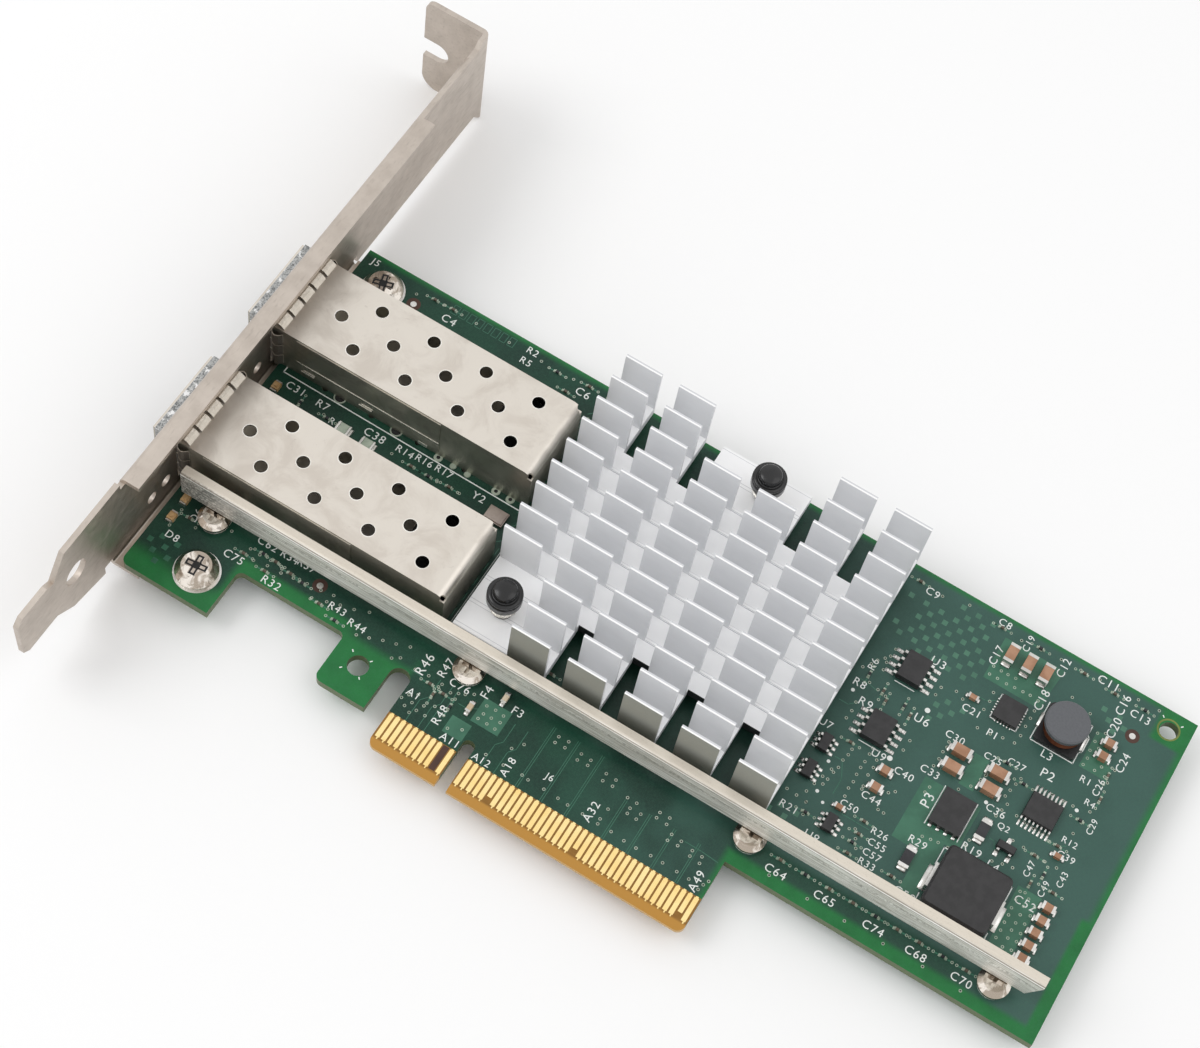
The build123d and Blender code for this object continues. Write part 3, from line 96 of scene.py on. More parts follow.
# Heights and widths of the print and copper
INK_Z = 0.014
LABEL_SCALE = 0.9
PRINT_LINE = 0.16
THIN, MIDDLE, WIDE = (0.09, 0.0, 0.01), (0.11, 0.0, 0.01), (0.12, 0.0, 0.012)
POUR_HEIGHT = 0.008
SQUARE, SQUARE_STEP = 0.84, (1.265, 1.28)


# Colours and material graphs

def srgb(r, g, b):
    """A linear colour from 0 to 255 values as the eye sees them."""
    out = []
    for c in (r / 255.0, g / 255.0, b / 255.0):
        out.append(c / 12.92 if c <= 0.04045 else ((c + 0.055) / 1.055) ** 2.4)
    return tuple(out) + (1.0,)


class Graph:
    """A material whose texture coordinates are millimetres in the part's frame."""

    def __init__(self, name, roughness=0.5, metallic=0.0):
        self.material = bpy.data.materials.new(name)
        self.material.use_nodes = True
        self.tree = self.material.node_tree
        self.shader = self.tree.nodes["Principled BSDF"]
        self.shader.inputs["Roughness"].default_value = roughness
        self.shader.inputs["Metallic"].default_value = metallic
        raw = self.node("ShaderNodeTexCoord").outputs["Object"]
        self.place = self.scaled(raw, (1000, 1000, 1000))

    def node(self, kind, values=None, **props):
        made = self.tree.nodes.new(kind)
        for key, value in props.items():
            setattr(made, key, value)
        for key, value in (values or {}).items():
            if isinstance(value, bpy.types.NodeSocket):
                self.tree.links.new(value, made.inputs[key])
            else:
                made.inputs[key].default_value = value
        return made

    def scaled(self, vector, scale):
        return self.node("ShaderNodeMapping", {"Vector": vector, "Scale": scale}).outputs[0]

    def noise(self, scale, detail=3.0, rough=0.55, stretch=None, warp=0.0):
        vector = self.scaled(self.place, stretch) if stretch else self.place
        values = {"Vector": vector, "Scale": scale, "Detail": detail, "Roughness": rough,
                  "Distortion": warp}
        return self.node("ShaderNodeTexNoise", values).outputs["Fac"]

    def ramp(self, value, low, high, a=0.0, b=1.0):
        values = {"Value": value, "From Min": low, "From Max": high, "To Min": a, "To Max": b}
        return self.node("ShaderNodeMapRange", values, interpolation_type="SMOOTHSTEP").outputs[0]

    def math(self, kind, a, b=0.0):
        return self.node("ShaderNodeMath", {0: a, 1: b}, operation=kind).outputs[0]

    def times(self, a, b):
        return self.math("MULTIPLY", a, b)

    def mix(self, factor, a, b):
        """A blend of a and b, each a socket or a colour from 0 to 255."""
        a, b = (v if isinstance(v, bpy.types.NodeSocket) else srgb(*v) for v in (a, b))
        return self.node("ShaderNodeMix", {0: factor, 6: a, 7: b}, data_type="RGBA").outputs[2]

    def split(self, vector):
        return tuple(self.node("ShaderNodeSeparateXYZ", {"Vector": vector}).outputs)

    def axes(self):
        return self.split(self.place)

    def normal(self):
        return self.split(self.node("ShaderNodeNewGeometry").outputs["Normal"])

    def window(self, value, low, high, soft):
        """One between low and high, nothing outside."""
        up = self.ramp(value, low - soft, low + soft)
        down = self.ramp(value, high - soft, high + soft, 1.0, 0.0)
        return self.math("MULTIPLY", up, down)

    def colour(self, socket):
        self.tree.links.new(socket, self.shader.inputs["Base Color"])

    def rough(self, socket):
        self.tree.links.new(socket, self.shader.inputs["Roughness"])

    def bump(self, height, strength, distance=0.0001):
        values = {"Height": height, "Strength": strength, "Distance": distance}
        made = self.node("ShaderNodeBump", values)
        self.tree.links.new(made.outputs[0], self.shader.inputs["Normal"])


def mask_material():
    """The board: dark teal over copper planes, greyer to the right as painted sheen, with a painted shadow
    beside the bar, bright green at the edges, bare by the contacts.
    """
    g = Graph("solder_mask", 0.34)
    x, y, z = g.axes()
    nz = g.math("ABSOLUTE", g.normal()[2])
    body = g.times(g.window(x, -60.0, 87.3, 0.8), g.window(y, 14.3, 68.3, 0.6))
    tongue = g.times(g.window(x, -12.8, 38.6, 0.7), g.window(y, 3.0, 18.0, 0.8))
    foot = g.times(g.window(x, -60.0, -42.6, 0.9), g.window(y, 7.6, 18.0, 1.6))
    neck = g.times(g.window(x, -23.5, -12.0, 2.0), g.window(y, 12.6, 18.0, 1.0))
    plane = g.math("MAXIMUM", g.math("MAXIMUM", body, tongue), g.math("MAXIMUM", foot, neck))
    corner = g.times(g.ramp(x, 82.0, 83.2), g.ramp(y, 62.8, 63.6))
    border = g.times(g.ramp(x, 85.8, 86.6), g.ramp(y, 33.0, 32.0))
    plane = g.times(plane, g.math("SUBTRACT", 1.0, g.math("MAXIMUM", corner, border)))
    cloud = g.ramp(g.noise(0.09, 2.0), 0.38, 0.62)
    # Painted sheen: the dark teal turns greyer and lighter from left to right.
    dark = g.mix(g.ramp(x, 4.0, 50.0), (18, 62, 46), (58, 90, 82))
    dark = g.mix(g.times(cloud, g.ramp(x, 30.0, 50.0, 0.75, 0.15)), dark, (16, 44, 36))
    # Painted shadow of the bar: the mask is darker in the strip beside it.
    strip = g.times(g.ramp(y, 18.4, 17.0), g.ramp(x, 36.0, 42.0))
    strip = g.times(strip, g.ramp(x, 82.0, 72.0))
    dark = g.mix(g.times(strip, 0.8), dark, (26, 60, 46))
    edge = g.mix(g.noise(0.3, 2.0), (14, 92, 42), (34, 124, 62))
    green = g.mix(plane, edge, dark)
    fibre = g.math("ADD", g.noise(1.6, 2.0, stretch=(1, 6, 1)), g.noise(1.6, 2.0, stretch=(6, 1, 1)))
    green = g.mix(g.ramp(fibre, 0.8, 1.25, 0.0, 0.14), green, (70, 122, 98))
    bare = g.times(g.ramp(y, 5.78, 5.7), g.ramp(x, -15.5, -14.5))
    tan = g.mix(g.noise(0.8, 3.0, stretch=(1, 3, 1)), (122, 84, 30), (158, 114, 50))
    tan = g.mix(g.ramp(y, 1.5, 1.1), tan, (184, 134, 58))
    face = g.mix(bare, green, tan)
    layers = g.noise(1.0, 2.0, stretch=(0.4, 0.4, 7))
    side = g.mix(layers, (58, 84, 48), (104, 110, 72))
    side = g.mix(g.ramp(y, 1.6, 1.2), side, (196, 158, 96))
    g.colour(g.mix(g.ramp(nz, 0.35, 0.6), side, face))
    g.rough(g.ramp(g.noise(3.0, 3.0), 0.2, 0.8, 0.28, 0.42))
    g.bump(fibre, 0.08)
    g.shader.inputs["Specular IOR Level"].default_value = 0.3
    return g.material


def plated_material(name, light, deep, roughness, grain=2.0, metallic=1.0, stretch=None, contrast=1.0,
                    bump=0.06):
    """A plated or solid metal with fine grain, cloudy wear and small scratches."""
    g = Graph(name, roughness, metallic)
    cloud = g.ramp(g.noise(0.25, 4.0, 0.6), 0.3, 0.72, 0.0, contrast)
    grain_value = g.noise(grain, 4.0, 0.6, stretch=stretch)
    body = g.mix(cloud, light, deep)
    speck = g.ramp(grain_value, 0.55, 0.75, 0.0, 0.35 * contrast)
    g.colour(g.mix(speck, body, [int(v * 0.8) for v in deep]))
    g.rough(g.ramp(grain_value, 0.25, 0.75, roughness - 0.07, roughness + 0.1))
    g.bump(grain_value, bump)
    return g.material


def cage_material():
    """Nickel-plated cage sheet: pale warm top with handling marks; the scratched sides a darker olive-grey
    copy as painted reflection of the board.
    """
    g = Graph("cage_sheet", 0.42, 0.85)
    nz = g.normal()[2]
    cloud = g.ramp(g.noise(0.16, 5.0, 0.62, warp=0.6), 0.42, 0.68)
    body = g.mix(cloud, (220, 213, 203), (204, 196, 186))
    smudge = g.ramp(g.noise(0.45, 6.0, 0.78, warp=0.8), 0.6, 0.72, 0.0, 0.4)
    body = g.mix(smudge, body, (170, 160, 149))
    scratch = g.ramp(g.noise(0.5, 8.0, 0.8, stretch=(9, 1, 1), warp=0.8), 0.67, 0.71, 0.0, 0.6)
    body = g.mix(scratch, body, (150, 140, 130))
    # Painted reflection of the board: the upright sides are a darker olive-grey copy of the same sheet.
    side = g.mix(cloud, (176, 172, 160), (150, 147, 136))
    line = g.ramp(g.noise(0.5, 6.0, 0.8, stretch=(0.6, 1, 9), warp=0.5), 0.64, 0.7, 0.0, 0.5)
    side = g.mix(line, side, (214, 210, 200))
    g.colour(g.mix(g.ramp(nz, 0.3, 0.75), side, body))
    g.rough(g.ramp(cloud, 0.0, 1.0, 0.36, 0.5))
    g.bump(g.noise(1.3, 5.0, 0.6), 0.05)
    return g.material


def spring_material():
    """The spring collars: plated fingers inside, with painted shade on the faces turned to the sides,
    pitted galvanised grey outside the bracket.
    """
    g = Graph("spring_sheet", 0.42, 0.8)
    x = g.axes()[0]
    clean = g.mix(g.noise(0.8, 4.0), (226, 218, 206), (202, 194, 182))
    # Painted shade: faces turned towards y are darker.
    side = g.ramp(g.math("ABSOLUTE", g.normal()[1]), 0.4, 0.7)
    clean = g.mix(side, clean, (134, 126, 118))
    pit = g.ramp(g.noise(2.6, 6.0, 0.8, warp=1.0), 0.42, 0.58)
    pitted = g.mix(pit, (112, 114, 114), (196, 197, 196))
    pitted = g.mix(g.ramp(g.noise(0.9, 3.0, 0.7), 0.56, 0.66), pitted, (236, 236, 236))
    outside = g.ramp(x, -58.9, -59.3)
    g.colour(g.mix(outside, clean, pitted))
    g.rough(g.ramp(pit, 0.0, 1.0, 0.4, 0.6))
    g.bump(pit, 0.2)
    return g.material


def sink_material():
    """Satin aluminium: soft grey fins, each fin top with a painted highlight along its front edge, painted
    shade low on the fins, on the front row and on the base's front face, and a pale milled base.
    """
    g = Graph("sink_aluminium", 0.5, 0.12)
    _, y, z = g.axes()
    _, ny, nz = g.normal()
    face = g.mix(g.noise(0.3, 4.0, stretch=(1, 1, 2)), (230, 231, 233), (238, 239, 241))
    # Painted shade: the fins darken a little towards their roots.
    face = g.mix(g.ramp(z, 4.6, 9.0, 0.3, 0.0), face, (222, 223, 226))
    # Painted shade and reflection of the bar: the front row's faces towards it are a darker olive-grey.
    shade = g.times(g.ramp(y, SINK_FRONT + 0.5, SINK_FRONT + 0.3), g.ramp(ny, -0.4, -0.7))
    face = g.mix(shade, face, (150, 151, 143))
    # Painted shade: faces towards the bar below the fin roots are near black.
    inside = g.times(g.ramp(z, FIN_ROOT + 0.1, FIN_ROOT - 0.1), g.ramp(ny, -0.4, -0.7))
    face = g.mix(inside, face, (40, 42, 42))
    across = g.math("MODULO", g.math("SUBTRACT", y, SINK_FRONT), FIN_PITCH)
    # Painted highlight: white along the front 0.2 mm of each fin top, grey over the rest.
    crest_highlight = g.mix(g.ramp(across, 0.2, 0.28), (255, 255, 255), (214, 215, 218))
    sawn = g.mix(g.noise(2.5, 4.0, stretch=(0.3, 3, 1)), (252, 252, 253), (255, 255, 255))
    seam = g.math("ADD", g.window(across, 0.05, 0.13, 0.03), g.window(across, 0.6, 0.68, 0.03))
    sawn = g.mix(g.times(seam, 0.7), sawn, (176, 178, 182))
    top = g.mix(g.ramp(z, FIN_TOP - 0.1, FIN_TOP + 0.2), sawn, crest_highlight)
    g.colour(g.mix(g.ramp(nz, 0.5, 0.8), face, top))
    grain = g.noise(4.0, 4.0, 0.7)
    g.rough(g.ramp(grain, 0.2, 0.8, 0.42, 0.6))
    g.bump(grain, 0.06)
    return g.material


def plastic_material(name, base, light, roughness, grain=4.0, bump=0.12, speck=0.3):
    """Moulded or ceramic stuff with fine grain and slight cloudiness."""
    g = Graph(name, roughness)
    fine = g.noise(grain, 5.0, 0.7)
    cloud = g.noise(grain * 0.12, 3.0)
    body = g.mix(g.ramp(cloud, 0.35, 0.65), base, light)
    glint = [min(255, int(v * 1.35) + 12) for v in light]
    g.colour(g.mix(g.ramp(fine, 0.6, 0.75, 0.0, speck), body, glint))
    g.rough(g.ramp(fine, 0.25, 0.75, roughness - 0.06, roughness + 0.1))
    g.bump(fine, bump)
    return g.material


def bar_material():
    """The stiffener: pale rolled steel, beige on top; the front web a paler streaked copy as painted
    reflection, dark painted reflections specked over its left end, and a painted highlight between two
    painted dark lines along the fold.
    """
    g = Graph("bar_sheet", 0.4, 0.4)
    x, _, z = g.axes()
    ny = g.normal()[1]
    drawn = g.noise(1.2, 5.0, 0.65, stretch=(0.35, 4, 4))
    flange = g.mix(drawn, (206, 197, 182), (228, 220, 207))
    streak = g.ramp(g.noise(1.0, 6.0, 0.75, stretch=(0.12, 1, 5)), 0.4, 0.6)
    # Painted reflection: the web facing the front is a paler copy of the steel than the flange, with rolled
    # streaks.
    web = g.mix(streak, (196, 192, 182), (255, 253, 248))
    # Painted reflection: dark specks over the left end of the web.
    left_end_reflection = g.ramp(x, -38.0, -56.0)
    speck = g.times(left_end_reflection, g.ramp(g.noise(2.4, 6.0, 0.8), 0.42, 0.56, 0.0, 0.9))
    web = g.mix(speck, web, (92, 90, 86))
    fleck = g.ramp(g.noise(2.2, 5.0, 0.75), 0.44, 0.6, 0.0, 0.7)
    fleck = g.times(g.window(z, 5.1, 5.9, 0.2), fleck)
    web = g.mix(fleck, web, (150, 146, 136))
    # A painted highlight between two painted dark lines along the fold.
    for low, high, line in ((7.0, 7.12, (126, 118, 106)), (7.2, 7.34, (255, 254, 250)),
                            (7.42, 7.54, (140, 130, 116))):
        web = g.mix(g.window(z, low, high, 0.05), web, line)
    grit = g.ramp(g.noise(3.0, 5.0, 0.8), 0.54, 0.66, 0.0, 0.3)
    flange = g.mix(grit, flange, (168, 158, 142))
    g.colour(g.mix(g.ramp(ny, -0.3, -0.8), flange, web))
    dents = g.noise(1.4, 6.0, 0.7)
    g.rough(g.ramp(dents, 0.3, 0.7, 0.34, 0.48))
    g.bump(g.math("ADD", dents, drawn), 0.07)
    return g.material


def screw_material():
    """Bright nickel screws: pale rims, painted brown and dark reflections, and painted shade on the steeper
    faces.
    """
    g = Graph("screw_steel", 0.18, 1.0)
    cloud = g.ramp(g.noise(0.42, 3.0, 0.6, warp=1.0), 0.44, 0.6)
    body = g.mix(cloud, (240, 232, 222), (176, 164, 150))
    patch = g.ramp(g.noise(0.62, 3.0, 0.6, warp=1.2), 0.6, 0.7, 0.0, 0.6)
    body = g.mix(patch, body, (100, 86, 74))
    nz = g.normal()[2]
    # Painted shade: the steeper faces of the heads are darker.
    g.colour(g.mix(g.ramp(nz, 0.5, 0.2, 0.0, 0.35), body, (110, 100, 90)))
    g.rough(g.ramp(cloud, 0.0, 1.0, 0.14, 0.24))
    g.bump(g.noise(1.6, 4.0), 0.1)
    return g.material


def ferrite_material():
    """The drum inductor: ground grey top, black moulded base."""
    g = Graph("ferrite", 0.45)
    z = g.axes()[2]
    fine = g.noise(3.0, 5.0, 0.7)
    top = g.mix(fine, (74, 76, 80), (104, 106, 110))
    foot = g.mix(fine, (20, 20, 21), (34, 34, 36))
    g.colour(g.mix(g.ramp(z, 2.6, 2.9), foot, top))
    g.rough(g.ramp(fine, 0.25, 0.75, 0.34, 0.56))
    g.bump(fine, 0.25)
    return g.material


# Plated finishes: name, light, deep, roughness, grain and what departs from the usual
PLATED = [
    ("gold_plate", (255, 232, 168), (250, 212, 132), 0.3, 5.0, {"contrast": 0.7}),
    ("bracket_steel", (200, 190, 180), (182, 172, 162), 0.42, 2.2,
     {"stretch": (1, 0.25, 1), "contrast": 0.8}),
    ("contact_metal", (250, 214, 140), (236, 196, 116), 0.3, 5.0, {}),
    ("tin", (228, 226, 222), (196, 194, 190), 0.3, 2.5, {"bump": 0.2}),
    ("copper", (104, 64, 46), (70, 42, 30), 0.34, 3.0, {}),
    ("crystal_lid", (170, 158, 150), (142, 130, 124), 0.34, 3.0, {}),
    ("chip_lid", (190, 190, 188), (168, 168, 166), 0.4, 2.0, {}),
    ("pale_pads", (186, 196, 180), (150, 164, 146), 0.42, 3.0, {"metallic": 0.4}),
    # Painted highlight: the pale plates on the flanks of the screw recesses.
    ("nickel_flank_highlight", (206, 194, 182), (120, 108, 98), 0.2, 2.0, {"contrast": 0.9}),
    # Bright metal: the springs, paler than plain steel as painted light, and the painted highlights on the
    # vent rims and cage skirts.
    ("spring_wire", (250, 247, 240), (216, 210, 200), 0.24, 3.0, {"metallic": 0.7, "contrast": 0.5}),
]

# Plastic and ceramic finishes: name, base, light, roughness, grain, bump, speck
PLASTIC = [
    ("port_plastic", (26, 26, 27), (34, 34, 35), 0.5),
    ("pad_grey", (150, 150, 152), (168, 168, 170), 0.8),
    ("pin_plastic", (16, 16, 17), (30, 30, 31), 0.2, 2.0, 0.04, 0.1),
    ("package_black", (34, 33, 34), (44, 43, 44), 0.42, 6.0, 0.15, 0.3),
    ("capacitor_ceramic", (156, 114, 86), (176, 134, 106), 0.45, 3.0),
    ("resistor_black", (30, 30, 34), (44, 44, 48), 0.35, 4.0),
    ("light_plastic", (200, 180, 150), (218, 204, 180), 0.4, 3.0),
    ("print_white", (226, 230, 226), (238, 241, 238), 0.55, 5.0, 0.05, 0.1),
    ("mask_over_copper", (46, 98, 76), (58, 112, 88), 0.34, 2.0, 0.08, 0.08),
    ("mask_over_traces", (48, 104, 82), (56, 112, 90), 0.34, 2.0, 0.08, 0.08),
    ("mask_over_squares", (62, 108, 88), (72, 120, 98), 0.36, 2.0, 0.08, 0.08),
    ("mask_over_faint_squares", (30, 86, 62), (44, 100, 76), 0.36, 2.0, 0.08, 0.08),
    ("bare_laminate", (58, 34, 24), (74, 44, 30), 0.5, 2.0, 0.1, 0.1),
    ("bare_ring", (96, 112, 44), (118, 128, 60), 0.45, 2.0, 0.1, 0.1),
    ("small_part_brown", (86, 76, 64), (104, 92, 78), 0.45, 3.0, 0.05, 0.1),
    ("lamp_tan", (184, 148, 100), (206, 174, 128), 0.35, 3.0, 0.06, 0.3),
    # Painted shade: near black for the shade in via holes, cage pin notches and screw recesses.
    ("painted_shade_black", (16, 17, 16), (24, 25, 24), 0.6, 2.0, 0.1, 0.05),
]


def make_materials():
    """Every finish by name; a slot of the CAD takes the finish that has its name."""
    made = {
        "solder_mask": mask_material(), "cage_sheet": cage_material(), "spring_sheet": spring_material(),
        "sink_aluminium": sink_material(), "bar_sheet": bar_material(), "screw_steel": screw_material(),
        "ferrite": ferrite_material(),
    }
    for name, light, deep, roughness, grain, more in PLATED:
        made[name] = plated_material(name, light, deep, roughness, grain, **more)
    for row in PLASTIC:
        made[row[0]] = plastic_material(*row)
    return made


MATERIALS = make_materials()


def dress_nodes():
    """Gives each CAD node the finish of its slot."""
    slots = {part["node"]: part["material_slot"] for part in frame["record"]["subparts"]}
    for name, obj in frame["nodes"].items():
        material = MATERIALS[slots[name]]
        if not obj.material_slots:
            obj.data.materials.append(material)
        for place in obj.material_slots:
            place.material = material


# Geometry in batches, given in millimetres

def offset(place, reach, turn):
    """The place moved by reach in the direction of turn."""
    return place[0] + reach * math.cos(turn), place[1] + reach * math.sin(turn)


class Batch:
    """Collects many small shapes into one piece."""

    def __init__(self):
        self.verts = []
        self.faces = []

    def add(self, verts, faces):
        base = len(self.verts)
        self.verts += [tuple(v) for v in verts]
        self.faces += [tuple(base + i for i in face) for face in faces]

    def box(self, centre, size, z=0.0, turn=0.0, inset=0.0):
        """A block on z with its top drawn in by inset, turned about its centre."""
        c, s = math.cos(turn), math.sin(turn)
        points = []
        for high, shrink in ((z, 0.0), (z + size[2], inset)):
            for u, v in ((-1, -1), (1, -1), (1, 1), (-1, 1)):
                a, b = u * (size[0] / 2 - shrink), v * (size[1] / 2 - shrink)
                points.append((centre[0] + a * c - b * s, centre[1] + a * s + b * c, high))
        self.add(points, [(3, 2, 1, 0), (4, 5, 6, 7), (0, 1, 5, 4), (1, 2, 6, 5), (2, 3, 7, 6),
                          (3, 0, 4, 7)])

    def turned(self, centre, profile, steps):
        """Points and faces of a profile of radii and heights turned about a vertical axis."""
        points, faces = [], []
        for radius, height in profile:
            for i in range(steps):
                a = 2 * math.pi * i / steps
                points.append((centre[0] + radius * math.cos(a), centre[1] + radius * math.sin(a), height))
        for row in range(len(profile) - 1):
            low, top = row * steps, (row + 1) * steps
            for i in range(steps):
                j = (i + 1) % steps
                faces.append((low + i, low + j, top + j, top + i))
        return points, faces

    def ring(self, centre, inner, outer, z, high, steps=12):
        """A flat ring with a bevelled outer edge; inner may be 0 for a disc."""
        profile = [(outer, z), (outer - high * 0.6, z + high)]
        if inner > 0:
            profile.append((inner, z + high))
        points, faces = self.turned(centre, profile, steps)
        if inner <= 0:
            faces.append(tuple(range(steps, 2 * steps)))
        self.add(points, faces)

    def strip(self, points, width, z, high=0.0):
        """A flat line along the points, as wide as given."""
        for a, b in zip(points, points[1:]):
            run = math.hypot(b[0] - a[0], b[1] - a[1])
            turn = math.atan2(b[1] - a[1], b[0] - a[0])
            middle = ((a[0] + b[0]) / 2, (a[1] + b[1]) / 2)
            self.box(middle, (run + width * 0.8, width, max(high, 0.004)), z, turn)

    def dome(self, centre, radius, z, high, steps=12, rows=4):
        """A low round bump."""
        angles = [k / rows * math.pi / 2 for k in range(rows)]
        profile = [(radius * math.cos(angle), z + high * math.sin(angle)) for angle in angles]
        points, faces = self.turned(centre, profile, steps)
        points.append((centre[0], centre[1], z + high))
        last = (rows - 1) * steps
        for i in range(steps):
            faces.append((last + i, last + (i + 1) % steps, len(points) - 1))
        self.add(points, faces)

    def polygon(self, points, z, high):
        """A flat outline raised a little."""
        count = len(points)
        verts = [(x, y, z) for x, y in points] + [(x, y, z + high) for x, y in points]
        faces = [tuple(range(count, 2 * count))]
        for i in range(count):
            j = (i + 1) % count
            faces.append((i, j, count + j, count + i))
        self.add(verts, faces)

    def text(self, body, centre, height, z, turn=0.0):
        """Printed characters as flat faces, centred, with the given height."""
        curve = bpy.data.curves.new("letters", "FONT")
        curve.body = body
        curve.resolution_u = 3
        curve.align_x = "LEFT"
        curve.space_character = 1.16
        holder = bpy.data.objects.new("letters", curve)
        bpy.context.collection.objects.link(holder)
        bpy.context.view_layer.update()
        mesh = bpy.data.meshes.new_from_object(holder)
        points = [v.co.copy() for v in mesh.vertices]
        faces = [tuple(p.vertices) for p in mesh.polygons]
        bpy.data.objects.remove(holder)
        low = Vector((min(p.x for p in points), min(p.y for p in points), 0))
        top = Vector((max(p.x for p in points), max(p.y for p in points), 0))
        scale = height / (top.y - low.y)
        middle = (low + top) / 2
        spin = Matrix.Rotation(turn, 3, "Z")
        out = []
        for p in points:
            flat = spin @ ((p - middle) * scale)
            out.append((centre[0] + flat.x, centre[1] + flat.y, z))
        self.add(out, faces)
        bpy.data.meshes.remove(mesh)

    def piece(self, name, finish, slot, smooth=False):
        """Makes the piece with one finish and sets it on the card."""
        mesh = bpy.data.meshes.new(name)
        mesh.from_pydata([tuple(c * MM for c in v) for v in self.verts], [], self.faces)
        mesh.update()
        mesh.materials.append(MATERIALS[finish])
        if smooth:
            mesh.polygons.foreach_set("use_smooth", [True] * len(mesh.polygons))
        obj = bpy.data.objects.new(name, mesh)
        bpy.context.collection.objects.link(obj)
        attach(obj, "root")
        return obj


# Print on the board

# Text, place, height, and the turn in degrees where there is one
LABELS = [
    ("J5", -54.9, 67.3, 1.7), ("C4", -40, 65.1, 1.5), ("R2", -26.4, 67.6, 1.3), ("R5", -26.4, 65.5, 1.3),
    ("C6", -16.3, 65.7, 1.5), ("C31", -52.4, 41.9, 1.4), ("R7", -47.4, 41.8, 1.4),
    ("R15", -43.9, 40.3, 1.2), ("C38", -38.2, 41.8, 1.5), ("R14", -33, 42, 1.3),
    ("R16", -29.8, 42.3, 1.3), ("R17", -26.4, 42.4, 1.3), ("Y2", -19.9, 41.7, 1.4),
    ("D6", -52.2, 16.2, 1.3, 90), ("D8", -53, 11.6, 1.3), ("C75", -43.9, 13.7, 1.4),
    ("C62", -41, 18.1, 1.4), ("R34", -37.2, 18.1, 1.3), ("R37", -34.4, 18.3, 1.3),
    ("R32", -37.1, 13.2, 1.4), ("R43", -27, 15, 1.3), ("R44", -23.2, 14.3, 1.3),
    ("R46", -11.9, 14.6, 1.6, 90), ("R47", -9.1, 15.8, 1.4, 90), ("C76", -5.9, 14.5, 1.4),
    ("F4", -2.2, 15.8, 1.5, 90), ("F3", 3.1, 15.6, 1.4), ("A1", -10.9, 9.9, 1.3),
    ("R48", -5.9, 9.2, 1.4, 90), ("A11", -2.8, 6.7, 1.3), ("A12", 2.6, 6.6, 1.2),
    ("A18", 6.3, 7.7, 1.3, 90), ("J6", 12, 9.5, 1.5), ("A32", 19.6, 8.4, 1.4, 90),
    ("A49", 37.2, 7.6, 1.4, 90), ("C64", 45.9, 14.9, 1.4), ("C65", 53.6, 15.2, 1.4),
    ("C74", 61.5, 15.1, 1.4), ("C68", 68.3, 15.1, 1.4), ("C70", 75.5, 15.2, 1.4),
    ("R21", 42.7, 24.4, 1.3), ("U7", 41.2, 38.6, 1.3), ("R8", 42.4, 46.9, 1.4),
    ("R6", 42.6, 50.7, 1.3, 90), ("U3", 50.7, 56.3, 1.5), ("R9", 44.6, 44.6, 1.5),
    ("U6", 52.8, 46.8, 1.5), ("U9", 50, 38.5, 1.4), ("C40", 54.5, 37.9, 1.3), ("C44", 52.2, 32, 1.3),
    ("C50", 50.1, 29.2, 1.2), ("R26", 55.8, 27.9, 1.2), ("C55", 56.2, 26.2, 1.2),
    ("C57", 56.3, 24.5, 1.2), ("R33", 56.3, 22.9, 1.2), ("U8", 47.7, 22.3, 1.4), ("R29", 61, 29.8, 1.3),
    ("C58", 62.9, 21.9, 1.4), ("P3", 59.2, 36.2, 1.7, 90), ("C33", 57.5, 40.3, 1.3),
    ("C30", 58.2, 47.1, 1.3), ("C25", 64.4, 47.2, 1.2), ("C27", 67.8, 48.3, 1.2),
    ("C36", 68.4, 40.2, 1.3), ("R19", 68.1, 33, 1.4), ("Q2", 70.5, 38.5, 1.3), ("L4", 71.8, 32.5, 1.4),
    ("P1", 62.5, 50.6, 1.3), ("C21", 58.2, 52.2, 1.3), ("C17", 57.4, 62.2, 1.4, 90),
    ("C19", 60.7, 66.6, 1.2, 90), ("C18", 66.4, 59.5, 1.5, 90), ("L3", 70.9, 52.1, 1.4),
    ("P2", 72.4, 49.4, 1.6), ("R1", 77.4, 51.7, 1.2), ("C26", 79.6, 51.7, 1.2, 90),
    ("R4", 79.6, 48.8, 1.1), ("C29", 81.4, 45.7, 1.1, 90), ("R12", 79.7, 41.8, 1.1),
    ("C39", 80.2, 39.5, 1.2), ("C47", 76.4, 35, 1.1, 90), ("C43", 81.2, 36.1, 1.1, 90),
    ("C49", 79.5, 33.4, 1.1, 90), ("C52", 78.2, 30.1, 1.4), ("C9", 44.7, 66, 1.4),
    ("C8", 56.3, 67.6, 1.3), ("C12", 66.9, 66, 1.4, 90), ("C11", 73.6, 67.6, 1.5),
    ("C16", 77.1, 65.6, 1.5, 90), ("C13", 80.1, 65.3, 1.4), ("C20", 77.5, 61.5, 1.5, 90),
    ("C24", 81, 57.2, 1.4, 90),
]


PRINT_LINES = [
    [(67.6, 59.9), (67.6, 53), (74.7, 53), (74.7, 55), (75.1, 55.4), (75.1, 57.9), (74.7, 58.3), (74.7, 60),
     (73.4, 60)],
    [(64.6, 28.3), (64.6, 31.2), (65.6, 31.2)], [(75.6, 28.3), (75.6, 31.2), (74.7, 31.2)],
    [(64.6, 23.2), (64.6, 20.3)], [(75.6, 23.2), (75.6, 20.3)],
]
PIN_1_DOTS = [
    (52.8, 48.6, 0.42), (51.6, 38.9, 0.42), (66.6, 40.6, 0.3), (42, 45.4, 0.3), (44.3, 33.6, 0.28),
    (45.1, 28.7, 0.28), (46.6, 27.6, 0.25), (78.4, 46.8, 0.3),
]


